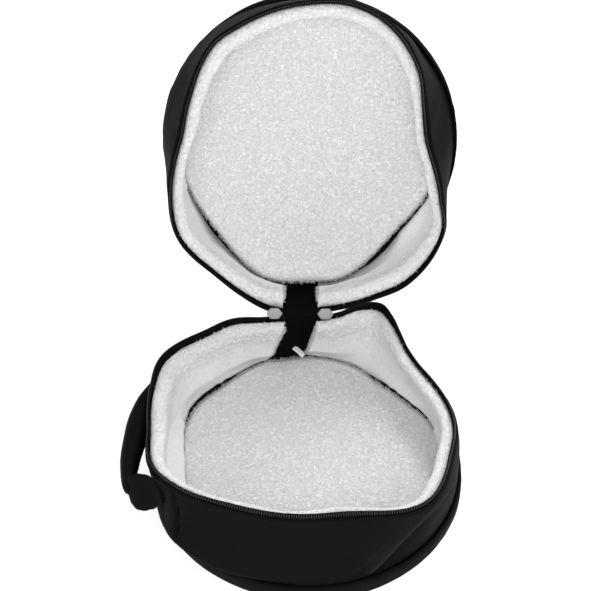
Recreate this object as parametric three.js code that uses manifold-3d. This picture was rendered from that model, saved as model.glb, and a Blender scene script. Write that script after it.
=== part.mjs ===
// Soft padded drum case, shown open: two round halves joined by a cloth hinge strip.
// Millimetres, +Z up. The origin is the centre of the base's flat underside.
// +Y points to the hinge, -X to the carry handle, and the lid stands open behind the base.

import * as THREE from 'three';
import { mergeVertices } from 'three/addons/utils/BufferGeometryUtils.js';
import Module from 'manifold-3d';

const wasm = await Module();
wasm.setup();

const { degToRad, radToDeg, euclideanModulo, lerp, smoothstep } = THREE.MathUtils;

// Driving dimensions of both halves
const EDGE_RADIUS = 200; // outside of the padded end panels
const FLAT_RADIUS = 195; // flat part of an end panel
const EDGE_ROUND = 10; // rounding of an end panel's shoulder
const SEAM_RADIUS = 194; // outer face of the side wall at its seam
const HALF_HEIGHT = 113; // outer face of an end panel to the edge of its zip tape
const BASE_PANEL = 26; // thickness of the base's end panel
const LID_PANEL = 22; // thickness of the lid's end panel
const BELLY = 3; // how far the padded wall swells halfway up
const RIM_FLARE = 3; // how far a straight wall's rim stands outside its seam
const SIDE_CLOTH = 2.5; // woven side wall with its backing
const LINING = 12; // fleece wall with its foam
const GAP = 0.35; // clearance between neighbours

// Zip, as fractions of the wall's height and sizes across it
const SIDE_TOP = 0.9; // upper edge of the side cloth
const TAPE_FOOT = 0.78; // lower edge of the zip tape
const LINING_TOP = 0.965; // crown of the fleece rim
const LINING_CROWN = 0.4; // share of the lining's thickness where the crown lies
const LINING_SHOULDER = 0.895; // where the rounded rim has the lining's full thickness
const LINING_MIDDLE = 0.5;
const LINING_LOW = 0.2; // below this the lining runs out to the foot
const LINING_LOW_SHARE = 0.8; // share of its thickness that is left there
const TAPE_CLEAR = 0.02; // the lining steps back this far below the tape
const TAPE = 1.4;
const COIL_RADIUS = 1.6;
const PIPING_RADIUS = 2.2;
const PIPING_SEAT = 52; // degrees up the shoulder where the piping lies

// Floor and ceiling pads, set a little towards the hinge
const PAD_RADIUS = 173;
const PAD_SHIFT = 12;
const PAD_HEIGHT = 13;
const GROOVE = 3.5; // between a pad and the foot of the wall lining
const BINDING_HEIGHT = 2.5;
const BINDING_WIDTH = 1.8;
const BINDING_FROM = 12; // degrees, the stretch of binding that shows
const BINDING_TO = 168;

// Cloth hinge
const LID_OPEN = 113; // degrees from closed
const LID_HINGE = { y: 204, z: 113 }; // where the lid's rim stands, in the base's frame
const LID_RIM_AT_HINGE = 204; // the same spot in the lid's own frame
const STRIP_WIDTH = 44;
const STRIP_CLOTH = 2;
const STRIP_INSET = SIDE_CLOTH + 1.2; // lies this far inside the wall's outer face
const STRIP_AT_RIM = -9; // middle of the strip along X where it crosses the gap
const STRIP_AT_FLOOR = -25; // and where it meets the floor
const STRIP_FOOT = 0.03;
const STRIP_BEND = 0.86; // wall height where the strip leaves the wall
const STRIP_BEND_FROM = 0.76; // a lower spot that gives the direction it leaves in
const STRIP_ON_WALL = 0.38; // share of the strip's length on each wall
const STRIP_ARCH = 14; // reach of the arch over the gap

// Zip sliders and label
const SLIDER = { width: 19, height: 16, depth: 2.4, bevel: 0.8 };
const SLIDER_NOSE = 0.45; // half width of a slider's ends, as a share of its own
const SLIDER_CHEEK = 0.6; // how far up the rounded corners pull, as a share of its half height
const SLIDER_SEAT = 0.3; // share of the way from the base's coil to the lid's
const SLIDER_CLEAR = 5; // between the edges of the strip and a slider
const LABEL = { length: 18, width: 8, depth: 0.8, curl: 1.2 };
const LABEL_TOP = { x: -24, y: 185.4, z: 48 };
const LABEL_END = { x: -12, y: 175.9, z: 42 };

// Carry handle, round the side at one height
const HANDLE_HEIGHT = 78;
const HANDLE_MIDDLE = 181; // degrees
const GRIP_SPAN = 36; // degrees
const GRIP_RADIUS = 232.5; // from the case's axis to the middle of the grip
const GRIP_TALL = 30;
const GRIP_THICK = 24;
const TAB_SPAN = 13; // degrees from the end of the grip to the end of the tab on the wall
const TAB_CLOTH = 3;
const TAB_CLEAR = 0.8;
const TAB_LANDS = 0.7; // share of the tab's length where it lies on the wall
const TAB_TILT = 12; // how far the lower edge stands out past the upper one, halfway along

// Steps round the soft walls and round the plain discs, then those of the small pieces
const WALL_STEPS = 56;
const DISC_STEPS = 44;
const LOWER_EDGE_STEPS = 2;
const SHOULDER_STEPS = 3;
const PIPING_SIDES = 5;
const COIL_SIDES = 4;
const BINDING_STEPS = 16;
const STRIP_STEPS = { along: 22, across: 4 };
const SLIDER_CURVE_STEPS = 3;
const LABEL_STEPS = { along: 4, across: 1 };
const GRIP_STEPS = { along: 12, curve: 6 };
const TAB_STEPS = { along: 10, across: 4 };

// Heights of the wall's rows, from seam to rim
const WALL_ROWS = [0, 0.26, 0.52, TAPE_FOOT, SIDE_TOP, 1];

// How far each rim leans out (+) or in (-) from its seam, a row for each bulge or dent.
// Angles go round the half's own axis: 0 along +X, 90 at the hinge.
const BASE_RIM = [
  { angle: 0, lean: -10 },
  { angle: 25, lean: -18 },
  { angle: 43, lean: -14 },
  { angle: 66, lean: 38 },
  { angle: 83, lean: 1 },
  { angle: 96, lean: -4 },
  { angle: 112, lean: 8 },
  { angle: 128, lean: 22 },
  { angle: 150, lean: 33 },
  { angle: 176, lean: 14 },
  { angle: 205, lean: 17 },
  { angle: 231, lean: -23 },
  { angle: 262, lean: -49 },
  { angle: 276, lean: -49 },
  { angle: 302, lean: -24 },
  { angle: 322, lean: 0 },
  { angle: 344, lean: -4 },
];
const LID_RIM = [
  { angle: 0, lean: -13 },
  { angle: 30, lean: 10 },
  { angle: 50, lean: 6 },
  { angle: 70, lean: 14 },
  { angle: 90, lean: 10 },
  { angle: 132, lean: 19 },
  { angle: 152, lean: 4 },
  { angle: 186, lean: -33 },
  { angle: 204, lean: -27 },
  { angle: 235, lean: 17 },
  { angle: 258, lean: 29 },
  { angle: 280, lean: 21 },
  { angle: 308, lean: 13 },
  { angle: 328, lean: -6 },
  { angle: 345, lean: -15 },
];

// Ridges (+) and creases (-) of the side cloth: angle at the seam, turn up to the rim, half width, depth
const BASE_FOLDS = [
  { angle: 222, slant: -4, width: 9, depth: -4 },
  { angle: 300, slant: 26, width: 8, depth: 5 },
  { angle: 313, slant: 26, width: 8, depth: -4 },
  { angle: 328, slant: 20, width: 9, depth: 4 },
  { angle: 58, slant: 6, width: 10, depth: 5 },
  { angle: 34, slant: -10, width: 11, depth: -4 },
  { angle: 132, slant: 8, width: 10, depth: 3 },
];
const LID_FOLDS = [
  { angle: 196, slant: -10, width: 10, depth: -4 },
  { angle: 226, slant: 10, width: 9, depth: 4 },
  { angle: 152, slant: 8, width: 9, depth: 4 },
  { angle: 344, slant: 8, width: 9, depth: -4 },
  { angle: 312, slant: -8, width: 10, depth: 4 },
];

// Half height of a handle tab from the grip (0) to its sewn end (1)
const TAB_LEAF = [
  { along: 0, half: 13 },
  { along: 0.3, half: 23 },
  { along: 0.65, half: 26 },
  { along: 1, half: 17 },
];

// Profile of a pad from its edge to its middle: how far in from the edge, and share of its height
const PAD_EDGE = [
  { inwards: 1, up: 0 },
  { inwards: 0, up: 0.35 },
  { inwards: 4, up: 0.75 },
  { inwards: 14, up: 0.95 },
  { inwards: PAD_RADIUS, up: 1 },
];

const BASE = { panel: BASE_PANEL, wall: HALF_HEIGHT - BASE_PANEL - GAP, rim: BASE_RIM, folds: BASE_FOLDS };
const LID = { panel: LID_PANEL, wall: HALF_HEIGHT - LID_PANEL - GAP, rim: LID_RIM, folds: LID_FOLDS };

const NYLON = { color: 0x17171a, roughness: 0.62, metalness: 0 };
const EDGE_NYLON = { color: 0x101012, roughness: 0.7, metalness: 0 };
const FLEECE = { color: 0xecebe8, roughness: 0.95, metalness: 0 };
const WEBBING = { color: 0x121214, roughness: 0.8, metalness: 0 };
const ZIP_BLACK = { color: 0x1b1b1d, roughness: 0.5, metalness: 0 };
const SLIDER_GREY = { color: 0x9b9d9f, roughness: 0.35, metalness: 0.9 };
const LABEL_WHITE = { color: 0xe6e6e4, roughness: 0.7, metalness: 0 };

// Tables

/** One column of a table at an angle, eased between the two rows on either side, round the full turn. */
function around(table, column, angle) {
  const turn = euclideanModulo(angle, 360);
  const found = table.findIndex((row) => row.angle > turn);
  const after = found < 0 ? 0 : found;
  const b = table[after];
  const a = table[euclideanModulo(after - 1, table.length)];
  const share = euclideanModulo(turn - a.angle, 360) / euclideanModulo(b.angle - a.angle, 360);
  return lerp(a[column], b[column], smoothstep(share, 0, 1));
}

/** Half height of a tab at a share of its length. */
function leafHalf(along) {
  const after = Math.max(1, TAB_LEAF.findIndex((row) => row.along >= along));
  const a = TAB_LEAF[after - 1];
  const b = TAB_LEAF[after];
  return lerp(a.half, b.half, smoothstep(along, a.along, b.along));
}

// The soft wall

/** Sum of the folds at an angle and height: each is a smooth ridge that dies out at the seam and the rim. */
function foldDepth(half, angle, v) {
  let depth = 0;
  for (const fold of half.folds) {
    const off = euclideanModulo(angle - fold.angle - fold.slant * v + 180, 360) - 180;
    const across = Math.max(0, 1 - (off / fold.width) ** 2);
    depth += fold.depth * across * Math.sin(Math.PI * v);
  }
  return depth;
}

/** How far the wall swells out at an angle and height, straight between the wall's rows. */
function swell(half, angle, v) {
  const after = WALL_ROWS.findIndex((row, k) => k > 0 && row >= Math.min(v, 1));
  const [low, high] = [WALL_ROWS[after - 1], WALL_ROWS[after]];
  const atRow = (row) => BELLY * Math.sin(Math.PI * row) + foldDepth(half, angle, row);
  return lerp(atRow(low), atRow(high), (v - low) / (high - low));
}

/** Height of a half's wall above its seam: its length is fixed, so a leaning wall stands lower. */
function wallHeight(half, angle) {
  return Math.sqrt(half.wall ** 2 - around(half.rim, 'lean', angle) ** 2);
}

/** Radius (x) and height (y) on a half's wall: v runs from seam to rim, inset inwards from outside. */
function wallPoint(half, angle, v, inset) {
  const height = wallHeight(half, angle);
  const lean = around(half.rim, 'lean', angle);
  const outer = SEAM_RADIUS + (RIM_FLARE + lean) * v + swell(half, angle, v);
  const radius = outer - (inset * half.wall) / height;
  return new THREE.Vector2(radius, half.panel + GAP + height * v);
}

/** The same point in the half's own frame. */
function wallPosition(half, angle, v, inset) {
  const { x: radius, y: height } = wallPoint(half, angle, v, inset);
  const turn = degToRad(angle);
  return new THREE.Vector3(radius * Math.cos(turn), radius * Math.sin(turn), height);
}

/** Distance from the axis to a circle that is set towards the hinge, at an angle. */
function shiftedRadius(radius, angle) {
  const turn = degToRad(angle);
  const along = PAD_SHIFT * Math.sin(turn);
  return along + Math.sqrt(radius ** 2 - (PAD_SHIFT * Math.cos(turn)) ** 2);
}

// Closed bodies

/** Keeps positions only, shares vertices and drops the slivers where a profile meets the axis. */
function closed(geometry) {
  geometry.deleteAttribute('normal');
  geometry.deleteAttribute('uv');
  const merged = mergeVertices(geometry, 1e-3);
  const corners = Array.from(merged.index.array);
  const kept = [];
  for (let k = 0; k < corners.length; k += 3) {
    const [a, b, c] = corners.slice(k, k + 3);
    if (a !== b && b !== c && c !== a) kept.push(a, b, c);
  }
  merged.setIndex(kept);
  return merged;
}

/**
 * A profile carried round the axis: profileAt(angle) gives the same number of points at every angle.
 * Each quad is split from its lower corner on one side to its upper corner on the other, on inner and
 * outer faces alike, so that twisted walls stay parallel.
 */
function turned(profileAt, steps) {
  const rows = profileAt(0).length;
  const geometry = new THREE.LatheGeometry(profileAt(0), steps);
  const position = geometry.attributes.position;
  for (let step = 0; step <= steps; step += 1) {
    const angle = (360 * step) / steps - 90;
    const turn = degToRad(angle);
    profileAt(angle).forEach(({ x: radius, y: height }, row) => {
      position.setXYZ(step * rows + row, radius * Math.cos(turn), radius * Math.sin(turn), height);
    });
  }
  const corners = [];
  for (let step = 0; step < steps; step += 1) {
    for (let row = 0; row < rows - 1; row += 1) {
      const a = step * rows + row;
      const [b, c, d] = [a + rows, a + rows + 1, a + 1];
      const falling = position.getZ(d) < position.getZ(a);
      if (falling) corners.push(a, b, c, a, c, d);
      else corners.push(a, b, d, b, c, d);
    }
  }
  geometry.setIndex(corners);
  return closed(geometry);
}

/** A slab bent to shape: place(along, across, depth) gets three shares from 0 to 1. */
function bentSlab(alongSteps, acrossSteps, place) {
  const geometry = new THREE.BoxGeometry(1, 1, 1, alongSteps, acrossSteps, 1);
  const position = geometry.attributes.position;
  for (let k = 0; k < position.count; k += 1) {
    const shares = new THREE.Vector3().fromBufferAttribute(position, k).addScalar(0.5);
    const { x, y, z } = place(shares.x, shares.y, shares.z);
    position.setXYZ(k, x, y, z);
  }
  return closed(geometry);
}

function toSolid(geometry) {
  const vertProperties = new Float32Array(geometry.attributes.position.array);
  const triVerts = new Uint32Array(geometry.index.array);
  return new wasm.Manifold(new wasm.Mesh({ numProp: 3, vertProperties, triVerts }));
}

/** One body cut away from another. */
function cutAway(geometry, cutter) {
  const mesh = toSolid(geometry).subtract(toSolid(cutter)).getMesh();
  const result = new THREE.BufferGeometry();
  result.setAttribute('position', new THREE.BufferAttribute(mesh.vertProperties, 3));
  result.setIndex(new THREE.BufferAttribute(mesh.triVerts, 1));
  return result;
}

function piece(name, geometry, finish) {
  geometry.computeVertexNormals();
  const mesh = new THREE.Mesh(geometry, new THREE.MeshStandardMaterial(finish));
  mesh.name = name;
  return mesh;
}

// Round pieces of one half

/** Corner points of a quarter-round shoulder, from low to high. */
function shoulder(radius, height, round, from, to, steps) {
  const points = [];
  for (let k = 0; k <= steps; k += 1) {
    const turn = degToRad(lerp(from, to, k / steps));
    points.push(new THREE.Vector2(radius + round * Math.cos(turn), height + round * Math.sin(turn)));
  }
  return points;
}

function endPanel(half) {
  const lower = EDGE_RADIUS - FLAT_RADIUS;
  const profile = [
    new THREE.Vector2(0, 0),
    ...shoulder(FLAT_RADIUS, lower, lower, -90, 0, LOWER_EDGE_STEPS),
    ...shoulder(EDGE_RADIUS - EDGE_ROUND, half.panel - EDGE_ROUND, EDGE_ROUND, 0, 90, SHOULDER_STEPS),
    new THREE.Vector2(0, half.panel),
  ];
  return turned(() => profile, DISC_STEPS);
}

function piping(half) {
  const reach = EDGE_ROUND + PIPING_RADIUS + GAP;
  const seat = degToRad(PIPING_SEAT);
  const radius = EDGE_RADIUS - EDGE_ROUND + reach * Math.cos(seat);
  const height = half.panel - EDGE_ROUND + reach * Math.sin(seat);
  const profile = shoulder(radius, height, PIPING_RADIUS, 0, 360, PIPING_SIDES);
  return turned(() => profile, DISC_STEPS);
}

function sidePanel(half) {
  const heights = WALL_ROWS.filter((v) => v <= SIDE_TOP);
  return turned((angle) => {
    const outer = heights.map((v) => wallPoint(half, angle, v, 0));
    const inner = heights.map((v) => wallPoint(half, angle, v, SIDE_CLOTH)).reverse();
    return [...outer, ...inner, outer[0]];
  }, WALL_STEPS);
}

function zipTape(half) {
  const outside = SIDE_CLOTH + GAP;
  const heights = WALL_ROWS.filter((v) => v >= TAPE_FOOT);
  return turned((angle) => {
    const outer = heights.map((v) => wallPoint(half, angle, v, outside));
    const inner = heights.map((v) => wallPoint(half, angle, v, outside + TAPE)).reverse();
    return [...outer, ...inner, outer[0]];
  }, WALL_STEPS);
}

/** Middle of the coil that runs along the free edge of the tape. */
function coilCentre(half, angle) {
  const edge = wallPosition(half, angle, 1, SIDE_CLOTH + GAP + TAPE / 2);
  edge.z += COIL_RADIUS + GAP;
  return edge;
}

function zipCoil(half) {
  return turned((angle) => {
    const centre = coilCentre(half, angle);
    const radius = Math.hypot(centre.x, centre.y);
    return shoulder(radius, centre.z, COIL_RADIUS, 0, 360, COIL_SIDES);
  }, WALL_STEPS);
}

function wallLining(half) {
  const below = SIDE_CLOTH + 2 * GAP;
  const behind = below + TAPE + GAP;
  const foot = PAD_RADIUS + GROOVE;
  return turned((angle) => {
    const footPoint = new THREE.Vector2(shiftedRadius(foot, angle), half.panel + GAP);
    const profile = [
      wallPoint(half, angle, 0, below),
      wallPoint(half, angle, WALL_ROWS[1], below),
      wallPoint(half, angle, WALL_ROWS[2], below),
      wallPoint(half, angle, TAPE_FOOT - TAPE_CLEAR, below),
      wallPoint(half, angle, TAPE_FOOT, behind),
      wallPoint(half, angle, SIDE_TOP, behind),
      wallPoint(half, angle, LINING_TOP, behind + LINING * LINING_CROWN),
      wallPoint(half, angle, LINING_SHOULDER, behind + LINING),
      wallPoint(half, angle, LINING_MIDDLE, behind + LINING),
      wallPoint(half, angle, LINING_LOW, behind + LINING * LINING_LOW_SHARE),
      footPoint,
    ];
    return [...profile, profile[0]];
  }, WALL_STEPS);
}

function pad(half) {
  const floor = half.panel + GAP;
  const edge = PAD_EDGE.map(
    ({ inwards, up }) => new THREE.Vector2(PAD_RADIUS - inwards, floor + PAD_HEIGHT * up),
  );
  const profile = [new THREE.Vector2(0, floor), ...edge];
  return turned(() => profile, DISC_STEPS).translate(0, PAD_SHIFT, 0);
}

/** The stretch of binding in the groove on the hinge side. */
function binding(half) {
  const inner = PAD_RADIUS + GAP;
  const outer = inner + BINDING_WIDTH;
  const outline = new THREE.Shape();
  outline.absarc(0, PAD_SHIFT, outer, degToRad(BINDING_FROM), degToRad(BINDING_TO), false);
  outline.absarc(0, PAD_SHIFT, inner, degToRad(BINDING_TO), degToRad(BINDING_FROM), true);
  const options = { depth: BINDING_HEIGHT, bevelEnabled: false, curveSegments: BINDING_STEPS };
  return closed(new THREE.ExtrudeGeometry(outline, options)).translate(0, 0, half.panel + GAP);
}

/** Where the strip runs in a half: the middle of its width along the half's own X at a wall height. */
function stripMiddle(half, v) {
  if (half === LID) return -STRIP_AT_RIM;
  return lerp(STRIP_AT_FLOOR, STRIP_AT_RIM, v);
}

/** The slot that the strip needs through the lining and the zip. */
function stripSlot(half) {
  const slot = new THREE.BoxGeometry(STRIP_WIDTH + 2 * GAP, EDGE_RADIUS / 2, 2 * half.wall);
  slot.translate(0, EDGE_RADIUS, half.panel + half.wall);
  const position = slot.attributes.position;
  for (let k = 0; k < position.count; k += 1) {
    const v = (position.getZ(k) - half.panel) / half.wall;
    position.setX(k, position.getX(k) + stripMiddle(half, v));
  }
  return closed(slot);
}

function roundHalf(half, names) {
  const slot = stripSlot(half);
  const group = new THREE.Group();
  group.add(
    piece(names.panel, endPanel(half), EDGE_NYLON),
    piece(names.piping, piping(half), WEBBING),
    piece(names.side, sidePanel(half), NYLON),
    piece(names.lining, cutAway(wallLining(half), slot), FLEECE),
    piece(names.binding, binding(half), WEBBING),
    piece(names.pad, pad(half), FLEECE),
    piece(names.tape, cutAway(zipTape(half), slot), WEBBING),
    piece(names.coil, cutAway(zipCoil(half), slot), ZIP_BLACK),
  );
  return group;
}

// Pieces that join the halves

/** The strip lies on the base's wall, arches over the gap and lies on the lid's wall. */
function hingeStrip(lidToCase) {
  const onWall = (half, v, across, inset) => {
    const side = half === LID ? -1 : 1;
    const x = stripMiddle(half, v) + side * (across - 0.5) * STRIP_WIDTH;
    const angle = radToDeg(Math.acos(x / SEAM_RADIUS));
    const spot = wallPosition(half, angle, v, inset);
    spot.x = x;
    return half === LID ? spot.applyMatrix4(lidToCase) : spot;
  };
  return bentSlab(STRIP_STEPS.along, STRIP_STEPS.across, (along, across, depth) => {
    const inset = STRIP_INSET + STRIP_CLOTH * (1 - depth);
    if (along <= STRIP_ON_WALL) {
      return onWall(BASE, lerp(STRIP_FOOT, STRIP_BEND, along / STRIP_ON_WALL), across, inset);
    }
    if (along >= 1 - STRIP_ON_WALL) {
      return onWall(LID, lerp(STRIP_FOOT, STRIP_BEND, (1 - along) / STRIP_ON_WALL), across, inset);
    }
    const from = onWall(BASE, STRIP_BEND, across, inset);
    const to = onWall(LID, STRIP_BEND, across, inset);
    const rise = from.clone().sub(onWall(BASE, STRIP_BEND_FROM, across, inset)).setLength(STRIP_ARCH);
    const fall = to.clone().sub(onWall(LID, STRIP_BEND_FROM, across, inset)).setLength(STRIP_ARCH);
    const arch = new THREE.CubicBezierCurve3(from, rise.add(from), fall.add(to), to);
    return arch.getPoint((along - STRIP_ON_WALL) / (1 - 2 * STRIP_ON_WALL));
  });
}

/** A slider lies across the two coils, beside the strip, with its face to the inside of the case. */
function zipSlider(name, side, lidToCase) {
  const x = STRIP_AT_RIM + side * (STRIP_WIDTH / 2 + SLIDER.width / 2 + SLIDER_CLEAR);
  const angle = radToDeg(Math.acos(x / SEAM_RADIUS));
  const below = coilCentre(BASE, angle);
  const above = coilCentre(LID, 180 - angle).applyMatrix4(lidToCase);
  const outline = new THREE.Shape();
  const [w, h] = [SLIDER.width / 2 - SLIDER.bevel, SLIDER.height / 2 - SLIDER.bevel];
  const nose = w * SLIDER_NOSE;
  const cheek = h * SLIDER_CHEEK;
  outline.moveTo(-w, 0);
  outline.quadraticCurveTo(-w, -cheek, -nose, -h);
  outline.lineTo(nose, -h);
  outline.quadraticCurveTo(w, -cheek, w, 0);
  outline.quadraticCurveTo(w, cheek, nose, h);
  outline.lineTo(-nose, h);
  outline.quadraticCurveTo(-w, cheek, -w, 0);
  const geometry = new THREE.ExtrudeGeometry(outline, {
    depth: SLIDER.depth,
    bevelSize: SLIDER.bevel,
    bevelThickness: SLIDER.bevel,
    bevelSegments: 1,
    curveSegments: SLIDER_CURVE_STEPS,
  });
  const mesh = piece(name, closed(geometry), SLIDER_GREY);
  const right = new THREE.Vector3(1, 0, 0);
  const up = above.clone().sub(below).setX(0).normalize();
  const out = right.clone().cross(up);
  mesh.quaternion.setFromRotationMatrix(new THREE.Matrix4().makeBasis(right, up, out));
  mesh.position.copy(below).lerp(above, SLIDER_SEAT).setX(x);
  mesh.position.addScaledVector(out, COIL_RADIUS + SLIDER.bevel + GAP);
  return mesh;
}

function careLabel() {
  const top = new THREE.Vector3(LABEL_TOP.x, LABEL_TOP.y, LABEL_TOP.z);
  const end = new THREE.Vector3(LABEL_END.x, LABEL_END.y, LABEL_END.z);
  const down = end.clone().sub(top).normalize();
  const sideways = new THREE.Vector3(0, 0, 1).cross(down).normalize();
  const geometry = bentSlab(LABEL_STEPS.along, LABEL_STEPS.across, (along, across, depth) => {
    const curl = LABEL.curl * Math.sin(Math.PI * along);
    const spot = top.clone().addScaledVector(down, along * LABEL.length);
    spot.addScaledVector(sideways, (across - 0.5) * LABEL.width);
    return spot.addScaledVector(down.clone().cross(sideways), depth * LABEL.depth + curl);
  });
  return piece('care_label', geometry, LABEL_WHITE);
}

// Carry handle

/** Outer radius of the base's wall at an angle and a height above the floor. */
function wallRadiusAt(angle, height) {
  const v = (height - BASE.panel - GAP) / wallHeight(BASE, angle);
  return wallPoint(BASE, angle, v, 0).x;
}

function handleGrip() {
  const points = [-0.5, -0.25, 0, 0.25, 0.5].map((share) => {
    const turn = degToRad(HANDLE_MIDDLE + share * GRIP_SPAN);
    return new THREE.Vector3(GRIP_RADIUS * Math.cos(turn), GRIP_RADIUS * Math.sin(turn), HANDLE_HEIGHT);
  });
  const section = new THREE.Shape();
  section.absellipse(0, 0, GRIP_TALL / 2, GRIP_THICK / 2, 0, 2 * Math.PI);
  const extrudePath = new THREE.CatmullRomCurve3(points);
  const options = { extrudePath, steps: GRIP_STEPS.along, curveSegments: GRIP_STEPS.curve };
  return piece('handle_grip', closed(new THREE.ExtrudeGeometry(section, options)), NYLON);
}

/** A leaf-shaped tab from one end of the grip to the wall: end is +1 at the front, -1 at the rear. */
function handleTab(name, end) {
  const clear = radToDeg(GAP / GRIP_RADIUS);
  const start = HANDLE_MIDDLE + end * (GRIP_SPAN / 2 + clear);
  const geometry = bentSlab(TAB_STEPS.along, TAB_STEPS.across, (along, across, depth) => {
    const share = end > 0 ? along : 1 - along;
    const angle = start + end * TAB_SPAN * share;
    const height = HANDLE_HEIGHT + (across - 0.5) * 2 * leafHalf(share);
    const wall = wallRadiusAt(angle, height) + TAB_CLEAR;
    const standing = GRIP_RADIUS - TAB_CLOTH / 2;
    const tilt = TAB_TILT * (0.5 - across) * Math.sin(Math.PI * share) ** 2;
    const reach = lerp(standing + tilt, wall, smoothstep(share, 0, TAB_LANDS));
    const radius = reach + depth * TAB_CLOTH;
    const turn = degToRad(angle);
    return new THREE.Vector3(radius * Math.cos(turn), radius * Math.sin(turn), height);
  });
  return piece(name, geometry, NYLON);
}

// The open case

const drumCase = new THREE.Group();

drumCase.add(
  roundHalf(BASE, {
    panel: 'base_bottom_panel',
    piping: 'base_piping',
    side: 'base_side_panel',
    lining: 'base_wall_lining',
    binding: 'base_floor_binding',
    pad: 'base_floor_pad',
    tape: 'base_zip_tape',
    coil: 'base_zip_coil',
  }),
);

const lidHinge = new THREE.Group();
lidHinge.position.set(0, LID_HINGE.y, LID_HINGE.z);
lidHinge.rotation.set(-degToRad(LID_OPEN), Math.PI, 0);
drumCase.add(lidHinge);

const lid = roundHalf(LID, {
  panel: 'lid_top_panel',
  piping: 'lid_piping',
  side: 'lid_side_panel',
  lining: 'lid_wall_lining',
  binding: 'lid_ceiling_binding',
  pad: 'lid_ceiling_pad',
  tape: 'lid_zip_tape',
  coil: 'lid_zip_coil',
});
lid.position.set(0, -LID_RIM_AT_HINGE, -HALF_HEIGHT);
lidHinge.add(lid);

drumCase.updateMatrixWorld(true);
const lidToCase = lid.matrixWorld;

drumCase.add(
  piece('hinge_strip', hingeStrip(lidToCase), WEBBING),
  zipSlider('zip_slider_left', -1, lidToCase),
  zipSlider('zip_slider_right', 1, lidToCase),
  careLabel(),
  handleGrip(),
  handleTab('handle_tab_front', 1),
  handleTab('handle_tab_rear', -1),
);

export default drumCase;
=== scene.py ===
"""Looks of a soft padded drum case, shown open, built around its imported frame.

Every soft piece is a surface worked out on a grid, from the same sizes as the solid that it stands for.
Lengths are millimetres and angles degrees until a mesh is made, and meshes are in metres.
A half has its own frame: its axis is Z, 0 degrees is +X and 90 degrees is the hinge.
"""

import itertools
import logging
import math
from dataclasses import dataclass
from enum import Enum

import bpy
import numpy as np
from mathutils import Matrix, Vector
from mathutils.geometry import tessellate_polygon


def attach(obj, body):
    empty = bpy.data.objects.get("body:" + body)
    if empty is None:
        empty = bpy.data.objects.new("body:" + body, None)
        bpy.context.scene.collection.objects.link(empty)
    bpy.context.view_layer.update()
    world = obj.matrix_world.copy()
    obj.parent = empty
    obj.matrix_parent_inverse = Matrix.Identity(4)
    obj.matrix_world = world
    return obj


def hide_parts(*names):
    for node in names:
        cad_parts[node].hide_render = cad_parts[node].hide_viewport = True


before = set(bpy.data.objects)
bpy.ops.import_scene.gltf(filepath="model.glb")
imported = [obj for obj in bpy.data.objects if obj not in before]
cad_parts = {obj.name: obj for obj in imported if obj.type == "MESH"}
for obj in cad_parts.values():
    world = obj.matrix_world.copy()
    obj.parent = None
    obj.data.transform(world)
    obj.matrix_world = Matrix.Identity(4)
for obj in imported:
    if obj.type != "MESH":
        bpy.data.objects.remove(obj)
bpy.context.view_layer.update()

LOG = logging.getLogger("drum_case")
Array = np.ndarray
Table = tuple[tuple[float, float], ...]
Triple = tuple[float, float, float]
Piece = bpy.types.Object
Socket = bpy.types.NodeSocket
MM = 0.001

# Sizes shared by both halves
EDGE_RADIUS = 200.0
FLAT_RADIUS = 195.0
EDGE_ROUND = 10.0
SEAM_RADIUS = 194.0
HALF_HEIGHT = 113.0
BELLY = 3.0
RIM_FLARE = 3.0
SIDE_CLOTH = 2.5
SIDE_TOP = 0.935
TAPE = 1.4
GAP = 0.35
COIL_RADIUS = 1.6
TAPE_INSET = SIDE_CLOTH + GAP
PAD_HEIGHT = 13.0
PAD_GRID = 249
PAD_COARSE = 4
WELT_RADIUS = 2.1
TOOTH_PITCH = 3.1
TOOTH_HALF = (0.75, 1.2, 2.4)

# The open lid and the cloth hinge
LID_OPEN = math.radians(113)
HINGE_Y = 204.0
STRIP_WIDTH = 44.0
STRIP_AT_RIM = -9.0
STRIP_ON_LID = -10.3
STRIP_AT_FLOOR = -30.5
STRIP_SPREAD = 7.0

# How far each rim leans out of the seam's circle: angle, lean
BASE_RIM: Table = (
    (0, -9), (33, -17), (45, -9), (53, 8), (60, 30), (66, 46), (71, 32), (77, 11), (84, 0),
    (92, -3), (108, 4), (119, 20), (130, 23), (146, 38), (162, 23), (181, 12), (198, 16.5),
    (212, 2), (238, -36), (268, -56), (287, -51), (309, -9), (320, 1), (343, -9),
)
LID_RIM: Table = (
    (0, -16), (14, -4), (31, 11), (50, 8), (62, 13), (77, 22), (97, 16), (114, 16), (128, 21),
    (151, 8), (164, -16), (188, -39), (206, -31), (224, -4), (243, 19), (257, 25), (272, 20),
    (296, 12), (307, 10), (316, 1), (328, -12), (346, -22),
)
# How much higher than its lean allows each rim stands: angle, rise
BASE_LIFT: Table = (
    (54, 0), (60, 3), (65, 8), (70, 8), (74, 4.5), (78, 0.5), (84, -0.5), (95, 0), (215, 0),
    (235, 1.5), (300, 1.5), (325, 0),
)
LID_LIFT: Table = ((30, 0), (150, 0), (270, 0))
# How far the slack wall sags out over the end panel: angle, sag
BASE_SAG: Table = (
    (90, 0), (190, 0), (203, 12), (216, 22), (227, 22), (238, 18), (252, 9), (268, 0), (330, 0),
)
LID_SAG: Table = ((20, 1.5), (60, 0), (250, 0), (285, 4), (315, 9), (345, 6.5))

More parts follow.
